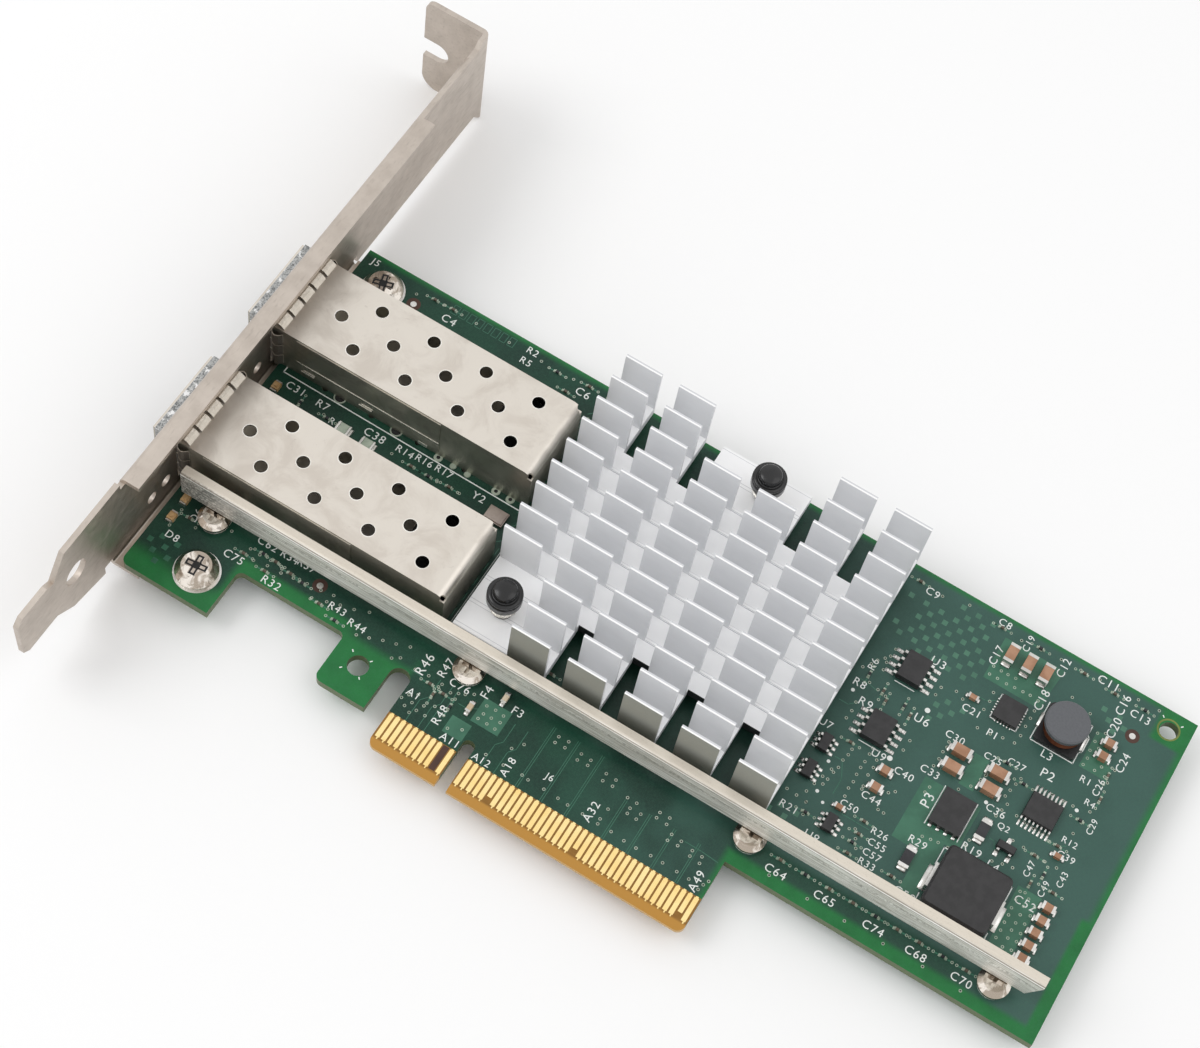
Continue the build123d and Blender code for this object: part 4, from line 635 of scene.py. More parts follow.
def print_board():
    """Part marks, outlines and pin-1 dots in white ink."""
    batch = Batch()
    z, line = INK_Z, PRINT_LINE
    for body, x, y, high, *turn in LABELS:
        batch.text(body, (x, y), high * LABEL_SCALE, z, math.radians(sum(turn)))
    batch.strip([(-55.4, 44.2), (-55.4, 43.3), (-13.9, 43.1)], line * 1.2, z - 0.002)
    batch.strip([(-12.0, 19.0), (-12.0, 66.8)], line, z - 0.002)
    batch.strip([(-12.4, 19.0), (-12.4, 66.8)], line * 0.6, z - 0.002)
    for points in PRINT_LINES:
        batch.strip(points, line, z)
    for x, y in MEMORY_CHIPS:
        batch.strip([(x - 1.6, y - 2.75), (x + 1.6, y - 2.75)], line, z)
    for x in (60.45, 65.75):
        batch.strip([(x, 32.9), (x, 39.6)], line, z)
    for x, y, dx, dy in ((61, 52.8, 0.7, 0.7), (65.3, 52.8, -0.7, 0.7), (61, 57.1, 0.7, -0.7),
                         (65.3, 57.1, -0.7, -0.7)):
        batch.strip([(x + dx, y), (x, y), (x, y + dy)], line, z)
    for x, y, r in PIN_1_DOTS:
        batch.ring((x, y), 0.0, r, z - 0.004, 0.008, 16)
    for place, count in ((HOOK_HOLE, 4), (CORNER_HOLE, 2)):
        for i in range(count):
            a = math.radians(45 + 90 * i)
            batch.box(offset(place, 2.2, a), (0.42, 0.17, 0.008), z - 0.004, a)
    batch.piece("board_print", "print_white", "solder_mask")


# Copper under the mask

def squares_field(batch, origin, columns, rows, keep):
    """A checkerboard of small copper squares, where keep says so."""
    for i in range(columns):
        for j in range(rows):
            if (i + j) % 2:
                continue
            x, y = origin[0] + i * SQUARE_STEP[0], origin[1] + j * SQUARE_STEP[1]
            if keep(x, y):
                batch.box((x, y), (SQUARE, SQUARE, 0.012), inset=0.03)


def copper_squares():
    """The pale squares that balance the copper."""
    batch = Batch()

    def upper(x, y):
        if x < 44.0 and y > 59.0:
            return 63.5 < y < 64.5
        return not (y > 64.6 and x < 49.0) and not (x > 55.4 and y > 61.5) and not (x < 46 and y < 57)

    squares_field(batch, (42.165, 56.21), 12, 9, upper)
    squares_field(batch, (52.2, 43.75), 5, 7, lambda x, y: x > 53 and y < 51.5 and x - y < 7.6)
    faint = Batch()
    squares_field(faint, (-55.4, 7.0), 4, 4, lambda x, y: x + y > -47.2)
    faint.piece("faint_squares", "mask_over_faint_squares", "solder_mask")
    squares_field(batch, (40.4, 20.2), 5, 4, lambda x, y: y > 20 and x < 45)
    squares_field(batch, (75.0, 60.9), 4, 3, lambda x, y: x + y > 137)
    batch.piece("copper_squares", "mask_over_squares", "solder_mask")


POURS = [
    [(57.3, 58), (66.9, 58), (66.9, 61), (67.3, 65.6), (57.3, 65.6)],
    [(57.3, 28.6), (60.2, 28.6), (60.2, 25.4), (61.8, 25.4), (61.8, 21.8), (64.4, 21.8), (64.4, 31.6),
     (66.4, 31.6), (66.4, 39.4), (57.3, 39.4)],
    [(61.8, 41), (64.2, 41), (64.2, 46.6), (61.8, 46.6)],
    [(75.6, 53.2), (80, 53.2), (80, 55), (76.9, 59.8), (75.6, 59.8)],
    [(76.2, 19.5), (80, 19.5), (80, 32), (76.2, 32)],
    [(-4.4, 7.3), (-1.2, 7.3), (-1.2, 10.2), (-4.4, 10.2)],
    [(-1.9, 10.9), (2.6, 10.9), (2.6, 15), (-1.9, 15)],
]


def copper_pours():
    """The brighter areas over wide copper."""
    batch = Batch()
    for outline in POURS:
        batch.polygon(outline, 0, POUR_HEIGHT)
    batch.piece("copper_areas", "mask_over_copper", "solder_mask")


LINKS = [
    (-13, 12.8, -10.4, 12.3), (-1.9, 10.9, 2.6, 10.9), (-4.6, 12.1, -1.9, 12.9), (41, 43, 44, 44.5),
    (42, 47.6, 45, 47.2), (41.5, 36.8, 43.6, 35.9), (49.8, 27.6, 54.2, 27.6), (60, 61, 57.5, 60.1),
    (58.2, 54.8, 60.6, 55.6), (44.7, 34.8, 47.2, 32.2), (47.2, 32.2, 47.2, 29.6), (66, 46, 69, 46),
    (33, 11.8, 38.4, 11.6), (69.5, 36, 71, 34.5), (76, 40, 79.5, 41),
]


def copper_traces():
    """Raised lines of the tracks: the pairs from the contacts and short links between parts."""
    batch = Batch()
    for x in (8.8, 12.8, 16.8, 22.9, 26.9, 30.9, 34.9):
        for side in (-0.16, 0.16):
            top = 16.5 if x < 20 else 12.6
            batch.strip([(x + side, 5.9), (x + side, top)], *THIN)
    for x in (-9.5, -7.5, -6.5, 3.0, 5.1):
        batch.strip([(x, 5.7), (x, 9.6), (x + 0.8, 10.6), (x + 0.8, 13.8)], *THIN)
    for x0, y0, x1, y1 in LINKS:
        batch.strip([(x0, y0), ((x0 + x1) / 2, y0), (x1, y1)], *MIDDLE)
    for i in range(9):
        x = 42.0 + i * 0.32
        batch.strip([(x, 17.2 + 0.2 * i), (x, 20.5), (x - 1.1, 21.6)], 0.1, 0.0, 0.012)
    for i in range(16):
        y = 19.5 + 2.9 * i
        batch.strip([(-13.8, y), (-12.9, y + 0.9), (-12.9, y + 2.1)], *WIDE)
    for i in range(10):
        x = -52.0 + 3.7 * i
        batch.strip([(x, 36.9), (x + 1.2, 36.9), (x + 2.0, 37.7), (x + 2.0, 39.0)], *WIDE)
    for i in range(12):
        x = -44 + 2.6 * i
        batch.strip([(x, 60.4), (x + 0.9, 61.3), (x + 2.1, 61.3)], *WIDE)
    for i in range(8):
        x = -40.6 + 1.45 * i
        batch.strip([(x, 66.4), (x + 1.0, 66.4), (x + 1.0, 68.0), (x, 68.0), (x, 66.4)], *THIN)
    batch.piece("copper_traces", "mask_over_traces", "solder_mask")


# Rows of vias: start, end and count
VIA_RUNS = [
    (-53.5, 64, -46.5, 66.2, 4), (-45, 61.8, -24, 61.2, 9), (-42, 66.9, -12.8, 67.1, 6),
    (-22, 63.4, -13.4, 62.2, 5), (-47, 38.6, -24, 38.8, 8), (-50.5, 40.4, -22.5, 40.6, 8),
    (-51, 14.6, -46.4, 17, 3), (-42.6, 16, -37.5, 16.1, 4), (-41.2, 14.8, -28.5, 16.5, 7),
    (-31, 14.4, -23, 17, 5), (-22.6, 13, -15, 15.8, 5), (-16.3, 12.9, -15.2, 13.6, 2),
    (-12.5, 13.2, -8.2, 13.4, 3), (-11.8, 8.5, -9.8, 7, 3), (-11.2, 9.4, -9, 8, 3),
    (-10.2, 10.2, -8.4, 9, 2), (-7.6, 8, -6.8, 12, 3), (-4, 8, -2, 9, 2), (-6.4, 12.8, -3.6, 14.4, 4),
    (-1.2, 11.6, 1.8, 11.6, 3), (-0.8, 12.8, 1.9, 12.8, 3), (-1.2, 14, 1.6, 14, 3),
    (2.8, 7.7, 8.6, 7.7, 3), (5.2, 10.4, 6.4, 11.8, 2), (9.8, 7.6, 14.6, 7.6, 3),
    (16.4, 7.4, 21.2, 7.4, 3), (23.5, 7.3, 36.2, 7.3, 7), (21.3, 8.3, 21.3, 10, 2),
    (38, 6.6, 38.6, 8.6, 3), (10, 14.6, 11.6, 14.6, 2), (10, 15.6, 11.6, 15.6, 2), (14, 14, 15.6, 14, 2),
    (14, 15, 15.6, 15, 2), (18.6, 13.4, 20.2, 13.4, 2), (18.6, 14.4, 20.2, 14.4, 2),
    (22.8, 13, 24.4, 13, 2), (24, 10.9, 25.6, 10.9, 2), (24, 11.9, 25.6, 11.9, 2),
    (27.8, 12.6, 29.4, 12.6, 2), (27.8, 13.6, 29.4, 13.6, 2), (30.8, 10.6, 32.4, 10.6, 2),
    (30.8, 11.6, 32.4, 11.6, 2), (34.6, 10.2, 36.2, 10.2, 2), (34.6, 11.2, 36.2, 11.2, 2),
    (41.6, 49.4, 43.6, 52.6, 4), (44.2, 50.6, 44.2, 54.6, 4), (43.6, 47.8, 46.6, 47.2, 3),
    (52.6, 51.6, 52.8, 53, 2), (43.4, 41, 43.4, 43.8, 3), (52.6, 41, 52.9, 43, 2),
    (45.4, 30, 46.4, 37.2, 7), (48.8, 30.2, 48.8, 39, 8), (43.8, 27.9, 45.3, 32.8, 4),
    (41.2, 26.7, 44.6, 26.5, 3), (50.2, 35, 50.2, 37.6, 3), (53.8, 34.2, 54.6, 34.8, 2),
    (50.4, 32.4, 50.4, 33, 2), (53.8, 30.9, 54.8, 30.9, 2), (52.4, 26.6, 54, 24.2, 3),
    (45.2, 24.4, 44.6, 26.4, 2), (57.8, 44, 57.8, 46, 3), (57.6, 41.4, 57.8, 42.8, 2),
    (64.4, 43.2, 64.9, 46.4, 4), (62.4, 40.2, 63.6, 41.6, 2), (68.6, 43, 69.4, 46.8, 4),
    (68.8, 39.6, 69.3, 42, 3), (58.3, 37, 58.6, 38.2, 2), (61, 31, 64.9, 31.4, 4),
    (76.9, 20.6, 76.9, 31.2, 9), (78.3, 20, 78.3, 31, 9), (79.6, 19.8, 79.6, 30.4, 8),
    (76.2, 53.8, 79.6, 53.8, 3), (76.2, 55, 78.6, 55, 2), (75.9, 56.4, 75.9, 59.4, 3),
    (76.9, 57.2, 76.9, 59.9, 3), (58, 58.9, 66, 59.2, 7), (58, 60.4, 61.6, 60.4, 4),
    (60.4, 50.2, 65.9, 51.2, 4), (59.8, 53.4, 59.8, 56.6, 3), (66.3, 52.8, 66.3, 57.4, 4),
    (72.6, 46.8, 77.6, 47, 4), (71.2, 41.2, 77.2, 40.4, 5), (79.4, 43.4, 80.2, 47.6, 3),
    (72.4, 37.6, 79.8, 37.2, 5), (80.4, 53.2, 80.4, 55.4, 2), (46.2, 66.4, 50.4, 67.4, 2),
    (59.6, 66.6, 82, 67.9, 8), (45.4, 13.9, 76, 13.9, 6), (70.2, 62.4, 73.4, 61.6, 2),
    (55, 53.8, 56.4, 53, 2), (67, 33, 67, 34.2, 2), (71.4, 33.2, 74.2, 33.8, 3),
]


def board_vias():
    """Small plated holes: a pale ring round a dark disc of painted shade in the hole."""
    rings, holes = Batch(), Batch()
    stray = 0.12
    for x0, y0, x1, y1, count in VIA_RUNS:
        for i in range(count):
            share = i / (count - 1)
            x = x0 + (x1 - x0) * share + RAND.uniform(-stray, stray)
            y = y0 + (y1 - y0) * share + RAND.uniform(-stray, stray)
            rings.ring((x, y), 0.14, 0.25, 0.0, 0.016, 10)
            # Painted shade: a dark disc where the hole is.
            holes.ring((x, y), 0.0, 0.16, 0.0, 0.006, 8)
    rings.piece("via_rings", "pale_pads", "tin")
    holes.piece("via_hole_shade", "painted_shade_black", "solder_mask")


def fiducials():
    """Round bare pads in dark rings, the ring round the corner hole and the bare contact place."""
    pads, rings, brown = Batch(), Batch(), Batch()
    for x, y in ((80.4, 61.85), (-46.0, 64.4), (-31.1, 16.7)):
        brown.ring((x, y), 0.5, 1.12, 0.0, 0.006, 28)
        pads.ring((x, y), 0.0, 0.5, 0.0, 0.02, 20)
    rings.ring(CORNER_HOLE, 1.52, 1.8, 0.0, 0.006, 36)
    brown.box((-2.5, 3.6), (0.96, 4.1, 0.006), 0.0)
    pads.piece("fiducial_pads", "tin", "tin")
    brown.piece("fiducial_rings", "bare_laminate", "solder_mask")
    rings.piece("hole_rings", "bare_ring", "solder_mask")


def contact_ends():
    """The narrow necks above and below each gold contact."""
    batch = Batch()
    for i in range(CONTACTS):
        x = -11.5 + i if i < CONTACTS_BEFORE_KEY else 1.5 + (i - CONTACTS_BEFORE_KEY)
        if i == BARE_CONTACT:
            continue
        if i not in SHORT_CONTACTS:
            batch.box((x + 0.12, 1.57 - 0.16), (0.2, 0.36, 0.03), 0.0)
        batch.box((x, 5.66), (0.46, 0.26, 0.03), inset=0.02)
    batch.piece("contact_necks", "gold_plate", "gold_plate")


# Small parts and solder

# Chip parts: places, length, width, turned, and how far the solder reaches out
CHIP_PADS = [
    ([(59.9, 45.2), (59.9, 42.2), (66.1, 45.2), (66.1, 42.2)], 3.2, 1.6, False, 0.28),
    ([(59.25, 63.1), (62.25, 63.1), (65.1, 63.1)], 3.2, 1.6, True, 0.28),
    ([(78.0, 58.5), (78.0, 56.15), (51.95, 36.5), (51.95, 33.5)], 2.0, 1.25, False, 0.28),
    ([(81.3, 22.3 + 2.15 * i) for i in range(5)], 2.0, 1.25, False, 0.28),
    ([(57.55, 54.0), (79.05, 38.75), (48.95, 28.1)], 1.6, 0.8, False, 0.28),
    ([(68.1, 36.4), (60.75, 26.8)], 3.2, 1.6, True, 0.5),
    ([(0.6, 16.2), (-2.9, 12.3)], 1.6, 0.8, True, 0.4),
]


def chip_pads(batch):
    """A fillet at both ends of each chip part."""
    for places, length, width, turned, out in CHIP_PADS:
        size = (width * 0.96, out + 0.35, 0.3) if turned else (out + 0.35, width * 0.96, 0.3)
        for x, y in places:
            for way in (-1, 1):
                reach = way * (length / 2 - 0.05 + out / 2)
                batch.box((x, y + reach) if turned else (x + reach, y), size, inset=0.12)


def lead_pads(batch):
    """The pads under the leads of the chips and the ends of the inductors."""
    for x, y in MEMORY_CHIPS:
        for way in (-1, 1):
            for i in range(4):
                lead = y + (i - 1.5) * LEAD_PITCH
                batch.box((x + way * 2.95, lead), (1.5, 0.62, 0.09), inset=0.05)
                batch.dome((x + way * 3.25, lead), 0.34, 0.05, 0.22, 10, 3)
    for x, y in LOGIC_CHIPS:
        for way in (-1, 1):
            for i in range(3):
                batch.box((x + way * 1.35, y + (i - 1) * 0.95), (0.95, 0.56, 0.12), inset=0.05)
    x, y = POWER_CONTROLLER
    for way in (-1, 1):
        for i in range(8):
            batch.box((x + (i - 3.5) * 0.65, y + way * 3.05), (0.36, 1.2, 0.1), inset=0.04)
    x, y = TRANSISTOR
    for i in range(3):
        reach = 1.35 if i == 1 else -1.35
        batch.box((x + (i - 1) * 0.95, y + reach), (0.7, 1.0, 0.12), inset=0.05)
    x, y = REGULATOR
    for i in range(6):
        along = (i - 2.5) * 0.5
        for way in (-1, 1):
            batch.box((x + along, y + way * 2.12), (0.26, 0.5, 0.12), inset=0.04)
            batch.box((x + way * 2.12, y + along), (0.5, 0.26, 0.12), inset=0.04)
    x, y = POWER_STAGE
    for i in range(4):
        batch.box((x + (i - 1.5) * LEAD_PITCH, y - 3.2), (0.6, 0.75, 0.16), inset=0.06)
    for (x, y), reach, size, inset in ((MOULDED_INDUCTOR, 5.7, (1.1, 4.2, 0.12), 0.05),
                                       (DRUM_INDUCTOR, 3.3, (1.2, 2.6, 0.5), 0.16)):
        for way in (-1, 1):
            batch.box((x + way * reach, y), size, inset=inset)


def solder_pads():
    """Tin pads and fillets under the chip parts and leads."""
    batch = Batch()
    chip_pads(batch)
    lead_pads(batch)
    batch.piece("solder_pads", "tin", "tin", True)


def screw_rings():
    """The narrow tinned rings that show round the bracket screws."""
    batch = Batch()
    for place in BRACKET_SCREWS:
        batch.ring(place, 3.0, 3.5, 0.0, 0.02, 40)
    batch.piece("screw_rings", "tin", "tin")


def screw_crosses():
    """Painted shade on the floors and painted highlights on the flanks of the cross recesses, as thin
    plates on the screw heads.
    """
    dark, bright = Batch(), Batch()
    for (x, y), turn in zip(BRACKET_SCREWS, CROSS_TURNS):
        for k in range(2):
            a = turn + k * math.pi / 2
            # Painted shade: dark plates over the recess floors.
            dark.box((x, y), (3.3, 1.05, 0.02), SCREW_TOP, a)
            # Painted highlights: paler plates on the recess flanks.
            bright.box((x, y), (2.7, 0.42, 0.024), SCREW_TOP, a)
            for way in (-1, 1):
                side = (x - way * 0.55 * math.sin(a), y + way * 0.55 * math.cos(a))
                for reach in (-1.1, 1.1):
                    bright.box(offset(side, reach, a), (1.0, 0.12, 0.04), SCREW_TOP, a)
        # Painted shade: a dark disc at the middle of the recess.
        dark.ring((x, y), 0.0, 0.62, SCREW_TOP, 0.03, 20)
    dark.piece("screw_recess_shade", "painted_shade_black", "screw_steel")
    bright.piece("screw_recess_flank_highlights", "nickel_flank_highlight", "screw_steel")


def vent_places():
    """Where the vents sit along and across a cage."""
    places = []
    for i in range(6):
        middle = VENT_START + VENT_PITCH * i
        places += [(middle, 0.0), (middle + VENT_STAGGER, VENT_ROW), (middle + VENT_STAGGER, -VENT_ROW)]
    return [place for place in places if place[0] < CAGE_LENGTH - VENT_MARGIN]


def vent_rims():
    """The burred rim round each vent, made bright as a painted highlight."""
    batch = Batch()
    for y in CAGE_CENTRES:
        for along, across in vent_places():
            # Painted highlight: the rims take the bright spring metal.
            batch.ring((CAGE_FRONT + along, y + across), 1.0, 1.14, CAGE_TOP, 0.03, 28)
    batch.piece("vent_rims", "spring_wire", "cage_sheet")


def cage_details():
    """On each cage side: the lid's skirt with a painted highlight along its edge, embossed dashes with
    painted highlights, notches with painted shade, pin rings.
    """
    skirt, edge, rings, notches = Batch(), Batch(), Batch(), Batch()
    for y, way in CAGE_SIDES:
        skirt.box((-41.2, y + way * 0.06), (25.0, 0.12, 5.5), 3.6)
        # Painted highlight: a bright strip along the skirt's lower edge.
        edge.box((-41.2, y + way * 0.1), (25.0, 0.16, 0.16), 3.44)
        skirt.box((-34.1, y + way * 0.05), (10.8, 0.1, 2.9), 0.5)
        for x in (-51.8, -41.6):
            # Painted highlights: bright lines on the embossed dashes.
            edge.box((x, y + way * 0.03), (2.3, 0.1, 0.14), 1.2)
            edge.box((x + 0.3, y + way * 0.03), (2.0, 0.1, 0.14), 1.75)
        # Painted highlight: a bright block low on the side.
        edge.box((-31.4, y + way * 0.06), (1.6, 0.16, 0.7), 0.35)
        for x in (-46.0, -36.0):
            # Painted shade: dark discs in the notches at the cage pins.
            notches.ring((x, y), 0.0, 0.85, 0.0, 0.02, 24)
            rings.ring((x, y), 0.8, 1.02, 0.0, 0.05, 28)
        for x in (-28.4, -18.3, -15.8):
            # Painted shade: small dark discs beside the pins.
            notches.ring((x, y + way * 0.35), 0.0, 0.34, 0.0, 0.03, 16)
            rings.ring((x, y + way * 0.35), 0.3, 0.72, 0.0, 0.07, 20)
        for x in (-25.8, -23.3):
            rings.ring((x, y + way * 0.35), 0.0, 0.55, 0.0, 0.12, 16)
    skirt.piece("cage_skirts", "cage_sheet", "cage_sheet")
    edge.piece("cage_skirt_edge_highlights", "spring_wire", "cage_sheet")
    rings.piece("cage_pin_rings", "pale_pads", "tin")
    notches.piece("cage_pin_notch_shade", "painted_shade_black", "solder_mask")


CAP_PROFILE = [(2.2, 7.28), (2.63, 7.36), (2.63, 8.95), (2.3, 9.28), (1.95, 9.28), (1.85, 9.2), (1.75, 9.5),
               (1.75, 10.2), (1.55, 10.42), (0.3, 10.45), (0.0, 10.45)]


def pin_caps():
    """Turned glossy caps over the push-pin heads: a stepped disc with soft edges."""
    batch = Batch()
    for axis in PIN_AXES:
        batch.add(*batch.turned(axis, CAP_PROFILE, 40))
    batch.piece("push_pin_caps", "pin_plastic", "pin_plastic", True)


def port_filters():
    """Two pale chip parts between the cages, half hidden by the lower one."""
    bodies, ends = Batch(), Batch()
    for x, y in FILTER_PLACES:
        bodies.box((x, y), (1.5, 1.8, 0.85), 0.02, 0.0, 0.05)
        for way in (-1, 1):
            ends.box((x + way * 0.9, y), (0.42, 1.86, 0.9), inset=0.06)
            ends.box((x + way * 1.15, y), (0.5, 1.9, 0.2), inset=0.1)
    bodies.piece("filter_bodies", "pale_pads", "capacitor_ceramic")
    ends.piece("filter_ends", "tin", "tin")


def port_lamps():
    """The four lamps by the bracket: tan bodies between silver ends, with a pale dome on top."""
    bodies, ends = Batch(), Batch()
    for x, y in LAMP_PLACES:
        bodies.box((x, y), (1.2, 1.3, 0.75), 0.02, 0.0, 0.06)
        bodies.box((x, y), (0.9, 0.8, 0.95), 0.05, 0.0, 0.12)
        for way in (-1, 1):
            ends.box((x, y + way * 0.82), (1.15, 0.38, 0.6), inset=0.08)
    lamps = bodies.piece("port_lamp_bodies", "lamp_tan", "light_plastic")
    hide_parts("port_lights")
    ends.piece("port_lamp_ends", "tin", "tin")


# Tiny chip parts: place, and the turn in degrees where there is one
SMALL_PARTS = [
    (49.7, 16.75), (53.6, 16.75), (57.4, 16.75), (61, 16.75), (64.5, 16.75), (68, 16.75), (71.75, 16.75),
    (75.5, 16.75), (45.7, 16.75), (62.6, 66.9), (70, 66.9), (75.3, 66.5), (80.3, 66.6), (42.3, 66.6),
    (56.2, 66.7), (70, 46.1), (53, 28.3), (53.2, 26.2), (53, 24.6), (53.2, 22.8), (60.1, 23.2),
    (66.5, 47.7), (80, 54.1, 90), (80.6, 50.1, 90), (79.5, 45.6), (78.4, 40.3), (76.2, 37.2),
    (78.6, 35.2, 90), (80.9, 33.6), (77.5, 33, 90), (42.9, 48.9, 90), (45.9, 47.6, 90), (46.9, 46.4, 90),
    (49.6, 47.2, 90), (51, 46.3, 90), (45.6, 37.9), (45.2, 24.9), (-8.4, 11.2, 90), (-7.2, 12.1),
    (-5.4, 10.9, 90), (-9.6, 12.4), (-43, 14.9), (-40.6, 16.4), (-38.4, 16.3), (-35.6, 15.9),
    (-33.4, 15.6), (-38.9, 14.2), (-29.6, 14.2), (-26.3, 13.2), (-40.4, 67), (-43.6, 66.9), (-21.4, 66.6),
    (-18.6, 64.4), (-16, 67.2), (-45.6, 40.2), (-42.9, 38.4), (-30.9, 40.4), (-27.9, 40.4), (-24.4, 40.6),
    (4, 23.2), (-50.4, 40.2, 90), (-52.6, 15.3), (-54.4, 14.3, 90),
]


def small_parts():
    """The tiny chip parts under a millimetre, with their ends, pads and links."""
    bodies, darks, ends, links, rings = Batch(), Batch(), Batch(), Batch(), Batch()
    for index, (x, y, *turn) in enumerate(SMALL_PARTS):
        place, a = (x, y), math.radians(sum(turn))
        body = darks if index % 3 == 0 else bodies
        body.box(place, (0.52, 0.4, 0.32), 0.03, a, 0.03)
        for way in (-1, 1):
            ends.box(offset(place, way * 0.36, a), (0.2, 0.43, 0.34), 0.02, a, 0.03)
            ends.box(offset(place, way * 0.54, a), (0.34, 0.46, 0.1), 0.0, a, 0.05)
            links.strip([offset(place, way * 0.7, a), offset(place, way * 1.35, a)], 0.2, 0.0, 0.012)
            rings.ring(offset(place, way * 1.5, a), 0.13, 0.24, 0.0, 0.018, 10)
    bodies.piece("small_part_bodies", "small_part_brown", "capacitor_ceramic")
    darks.piece("small_part_dark_bodies", "resistor_black", "resistor_black")
    ends.piece("small_part_ends", "pale_pads", "tin")
    links.piece("small_part_links", "mask_over_traces", "solder_mask")
    rings.piece("small_part_vias", "pale_pads", "tin")


def make_springs():
    """Round-wire coils under the push-pin heads."""
    low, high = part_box("push_pin_springs")
    batch = Batch()
    z0, z1 = low[2] / MM, high[2] / MM
    wire, turns, steps, sides = 0.27, 3.5, 84, 8
    radius = PIN_SHAFT_RADIUS + 0.15 + 0.25
    for cx, cy in PIN_AXES:
        points, faces = [], []
        for i in range(steps + 1):
            share = i / steps
            a = share * turns * 2 * math.pi
            height = z0 + wire + share * (z1 - z0 - 2 * wire)
            for k in range(sides):
                b = 2 * math.pi * k / sides
                r = radius + wire * math.cos(b)
                points.append((cx + r * math.cos(a), cy + r * math.sin(a), height + wire * math.sin(b)))
        for i in range(steps):
            low_row, top_row = i * sides, (i + 1) * sides
            for k in range(sides):
                m = (k + 1) % sides
                faces.append((low_row + k, top_row + k, top_row + m, low_row + m))
        faces.append(tuple(range(sides)))
        faces.append(tuple(steps * sides + k for k in reversed(range(sides))))
        batch.add(points, faces)
    # The wire is paler than plain steel, painted light against the shade of the caps.
    obj = batch.piece("round_wire_springs", "spring_wire", "spring_sheet", True)
    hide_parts("push_pin_springs")


# Camera, lamps and stage

PHOTO_SIZE = (1200.0, 1048.0)
PICTURE_CENTRE = (678.21, 545.65)
FOCAL_PIXELS = 2475.16
SENSOR = 36.0
CAMERA_PLACE = (54.914, -113.932, 324.227)
CAMERA_RIGHT = (0.85751, 0.49729, 0.13184)
CAMERA_UP = (-0.49894, 0.74136, 0.44883)
SKY_STRENGTH = 0.8
BACKGROUND_STRENGTH = 1.0
FLOOR_REACH = 3.0
FLOOR_WHITE = 0.97
LAMP_TARGET = (0.0, 0.05, 0.0)
LAMPS = [("key", (-0.62, -0.22, 0.72), 0.5, 2.2), ("fill", (0.60, 0.20, 0.80), 0.7, 1.0)]


def add_camera():
    """The photo's camera: its place, its tilt and the offset of its picture centre."""
    data = bpy.data.cameras.new("Camera")
    camera = bpy.data.objects.new("Camera", data)
    bpy.context.collection.objects.link(camera)
    right, up = Vector(CAMERA_RIGHT), Vector(CAMERA_UP)
    turn = Matrix((right, up, right.cross(up))).transposed()
    camera.matrix_world = Matrix.Translation(Vector(CAMERA_PLACE) * MM) @ turn.to_4x4()
    data.sensor_fit = "HORIZONTAL"
    data.sensor_width = SENSOR
    data.lens = SENSOR * FOCAL_PIXELS / PHOTO_SIZE[0]
    data.shift_x = -(PICTURE_CENTRE[0] - PHOTO_SIZE[0] / 2) / PHOTO_SIZE[0]
    data.shift_y = (PICTURE_CENTRE[1] - PHOTO_SIZE[1] / 2) / PHOTO_SIZE[0]
    data.clip_start = 0.01
    data.clip_end = 10.0
    bpy.context.scene.camera = camera


def add_lamp(name, place, size, power):
    """A square soft lamp that looks at the card."""
    data = bpy.data.lights.new(name, "AREA")
    data.shape = "SQUARE"
    data.size = size
    data.energy = power
    lamp = bpy.data.objects.new(name, data)
    lamp.location = place
    lamp.rotation_euler = (Vector(LAMP_TARGET) - Vector(place)).to_track_quat("-Z", "Y").to_euler()
    bpy.context.collection.objects.link(lamp)


def add_background(nodes, strength):
    """A white background of the given strength."""
    made = nodes.new("ShaderNodeBackground")
    made.inputs["Color"].default_value = (1, 1, 1, 1)
    made.inputs["Strength"].default_value = strength
    return made.outputs[0]


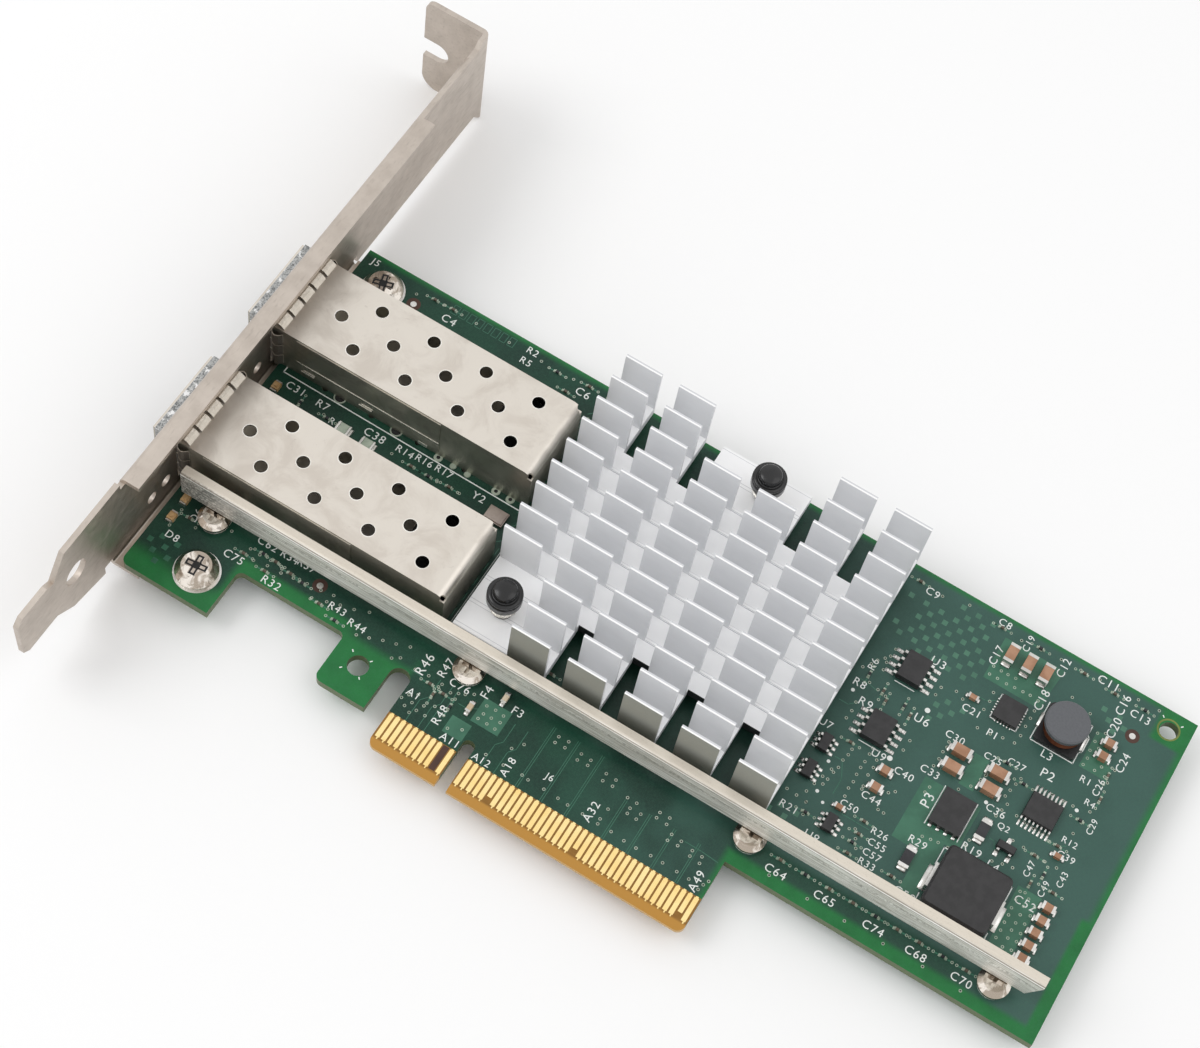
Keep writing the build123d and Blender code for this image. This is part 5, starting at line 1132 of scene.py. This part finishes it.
def add_world():
    """A soft white sky; the camera, metal and glass see it at full white."""
    world = bpy.data.worlds.new("World")
    bpy.context.scene.world = world
    world.use_nodes = True
    nodes, links = world.node_tree.nodes, world.node_tree.links
    nodes.clear()
    out = nodes.new("ShaderNodeOutputWorld")
    path = nodes.new("ShaderNodeLightPath")
    blend = nodes.new("ShaderNodeMixShader")
    seen = path.outputs["Is Camera Ray"]
    for kind in ("Is Glossy Ray", "Is Transmission Ray"):
        either = nodes.new("ShaderNodeMath")
        either.operation = "MAXIMUM"
        links.new(seen, either.inputs[0])
        links.new(path.outputs[kind], either.inputs[1])
        seen = either.outputs[0]
    links.new(seen, blend.inputs[0])
    links.new(add_background(nodes, SKY_STRENGTH), blend.inputs[1])
    links.new(add_background(nodes, BACKGROUND_STRENGTH), blend.inputs[2])
    links.new(blend.outputs[0], out.inputs[0])


def add_floor():
    """A wide pale floor under the lowest point of the card."""
    low, r = CAD_BOX[0][2], FLOOR_REACH
    mesh = bpy.data.meshes.new("floor")
    mesh.from_pydata([(-r, -r, low), (r, -r, low), (r, r, low), (-r, r, low)], [], [(0, 1, 2, 3)])
    floor = bpy.data.objects.new("floor", mesh)
    bpy.context.collection.objects.link(floor)
    material = bpy.data.materials.new("floor")
    material.use_nodes = True
    shader = material.node_tree.nodes["Principled BSDF"]
    shader.inputs["Base Color"].default_value = (FLOOR_WHITE, FLOOR_WHITE, FLOOR_WHITE, 1)
    shader.inputs["Roughness"].default_value = 0.9
    shader.inputs["Specular IOR Level"].default_value = 0.1
    mesh.materials.append(material)


def add_stage():
    """Floor, world and lamps: plain, soft and pale."""
    bpy.context.scene.view_settings.view_transform = "Standard"
    add_world()
    add_floor()
    for name, place, size, power in LAMPS:
        add_lamp(name, place, size, power)


add_camera()
add_stage()
dress_nodes()
print_board()
copper_squares()
copper_pours()
copper_traces()
board_vias()
fiducials()
contact_ends()
solder_pads()
screw_rings()
screw_crosses()
vent_rims()
cage_details()
pin_caps()
port_filters()
port_lamps()
small_parts()
make_springs()
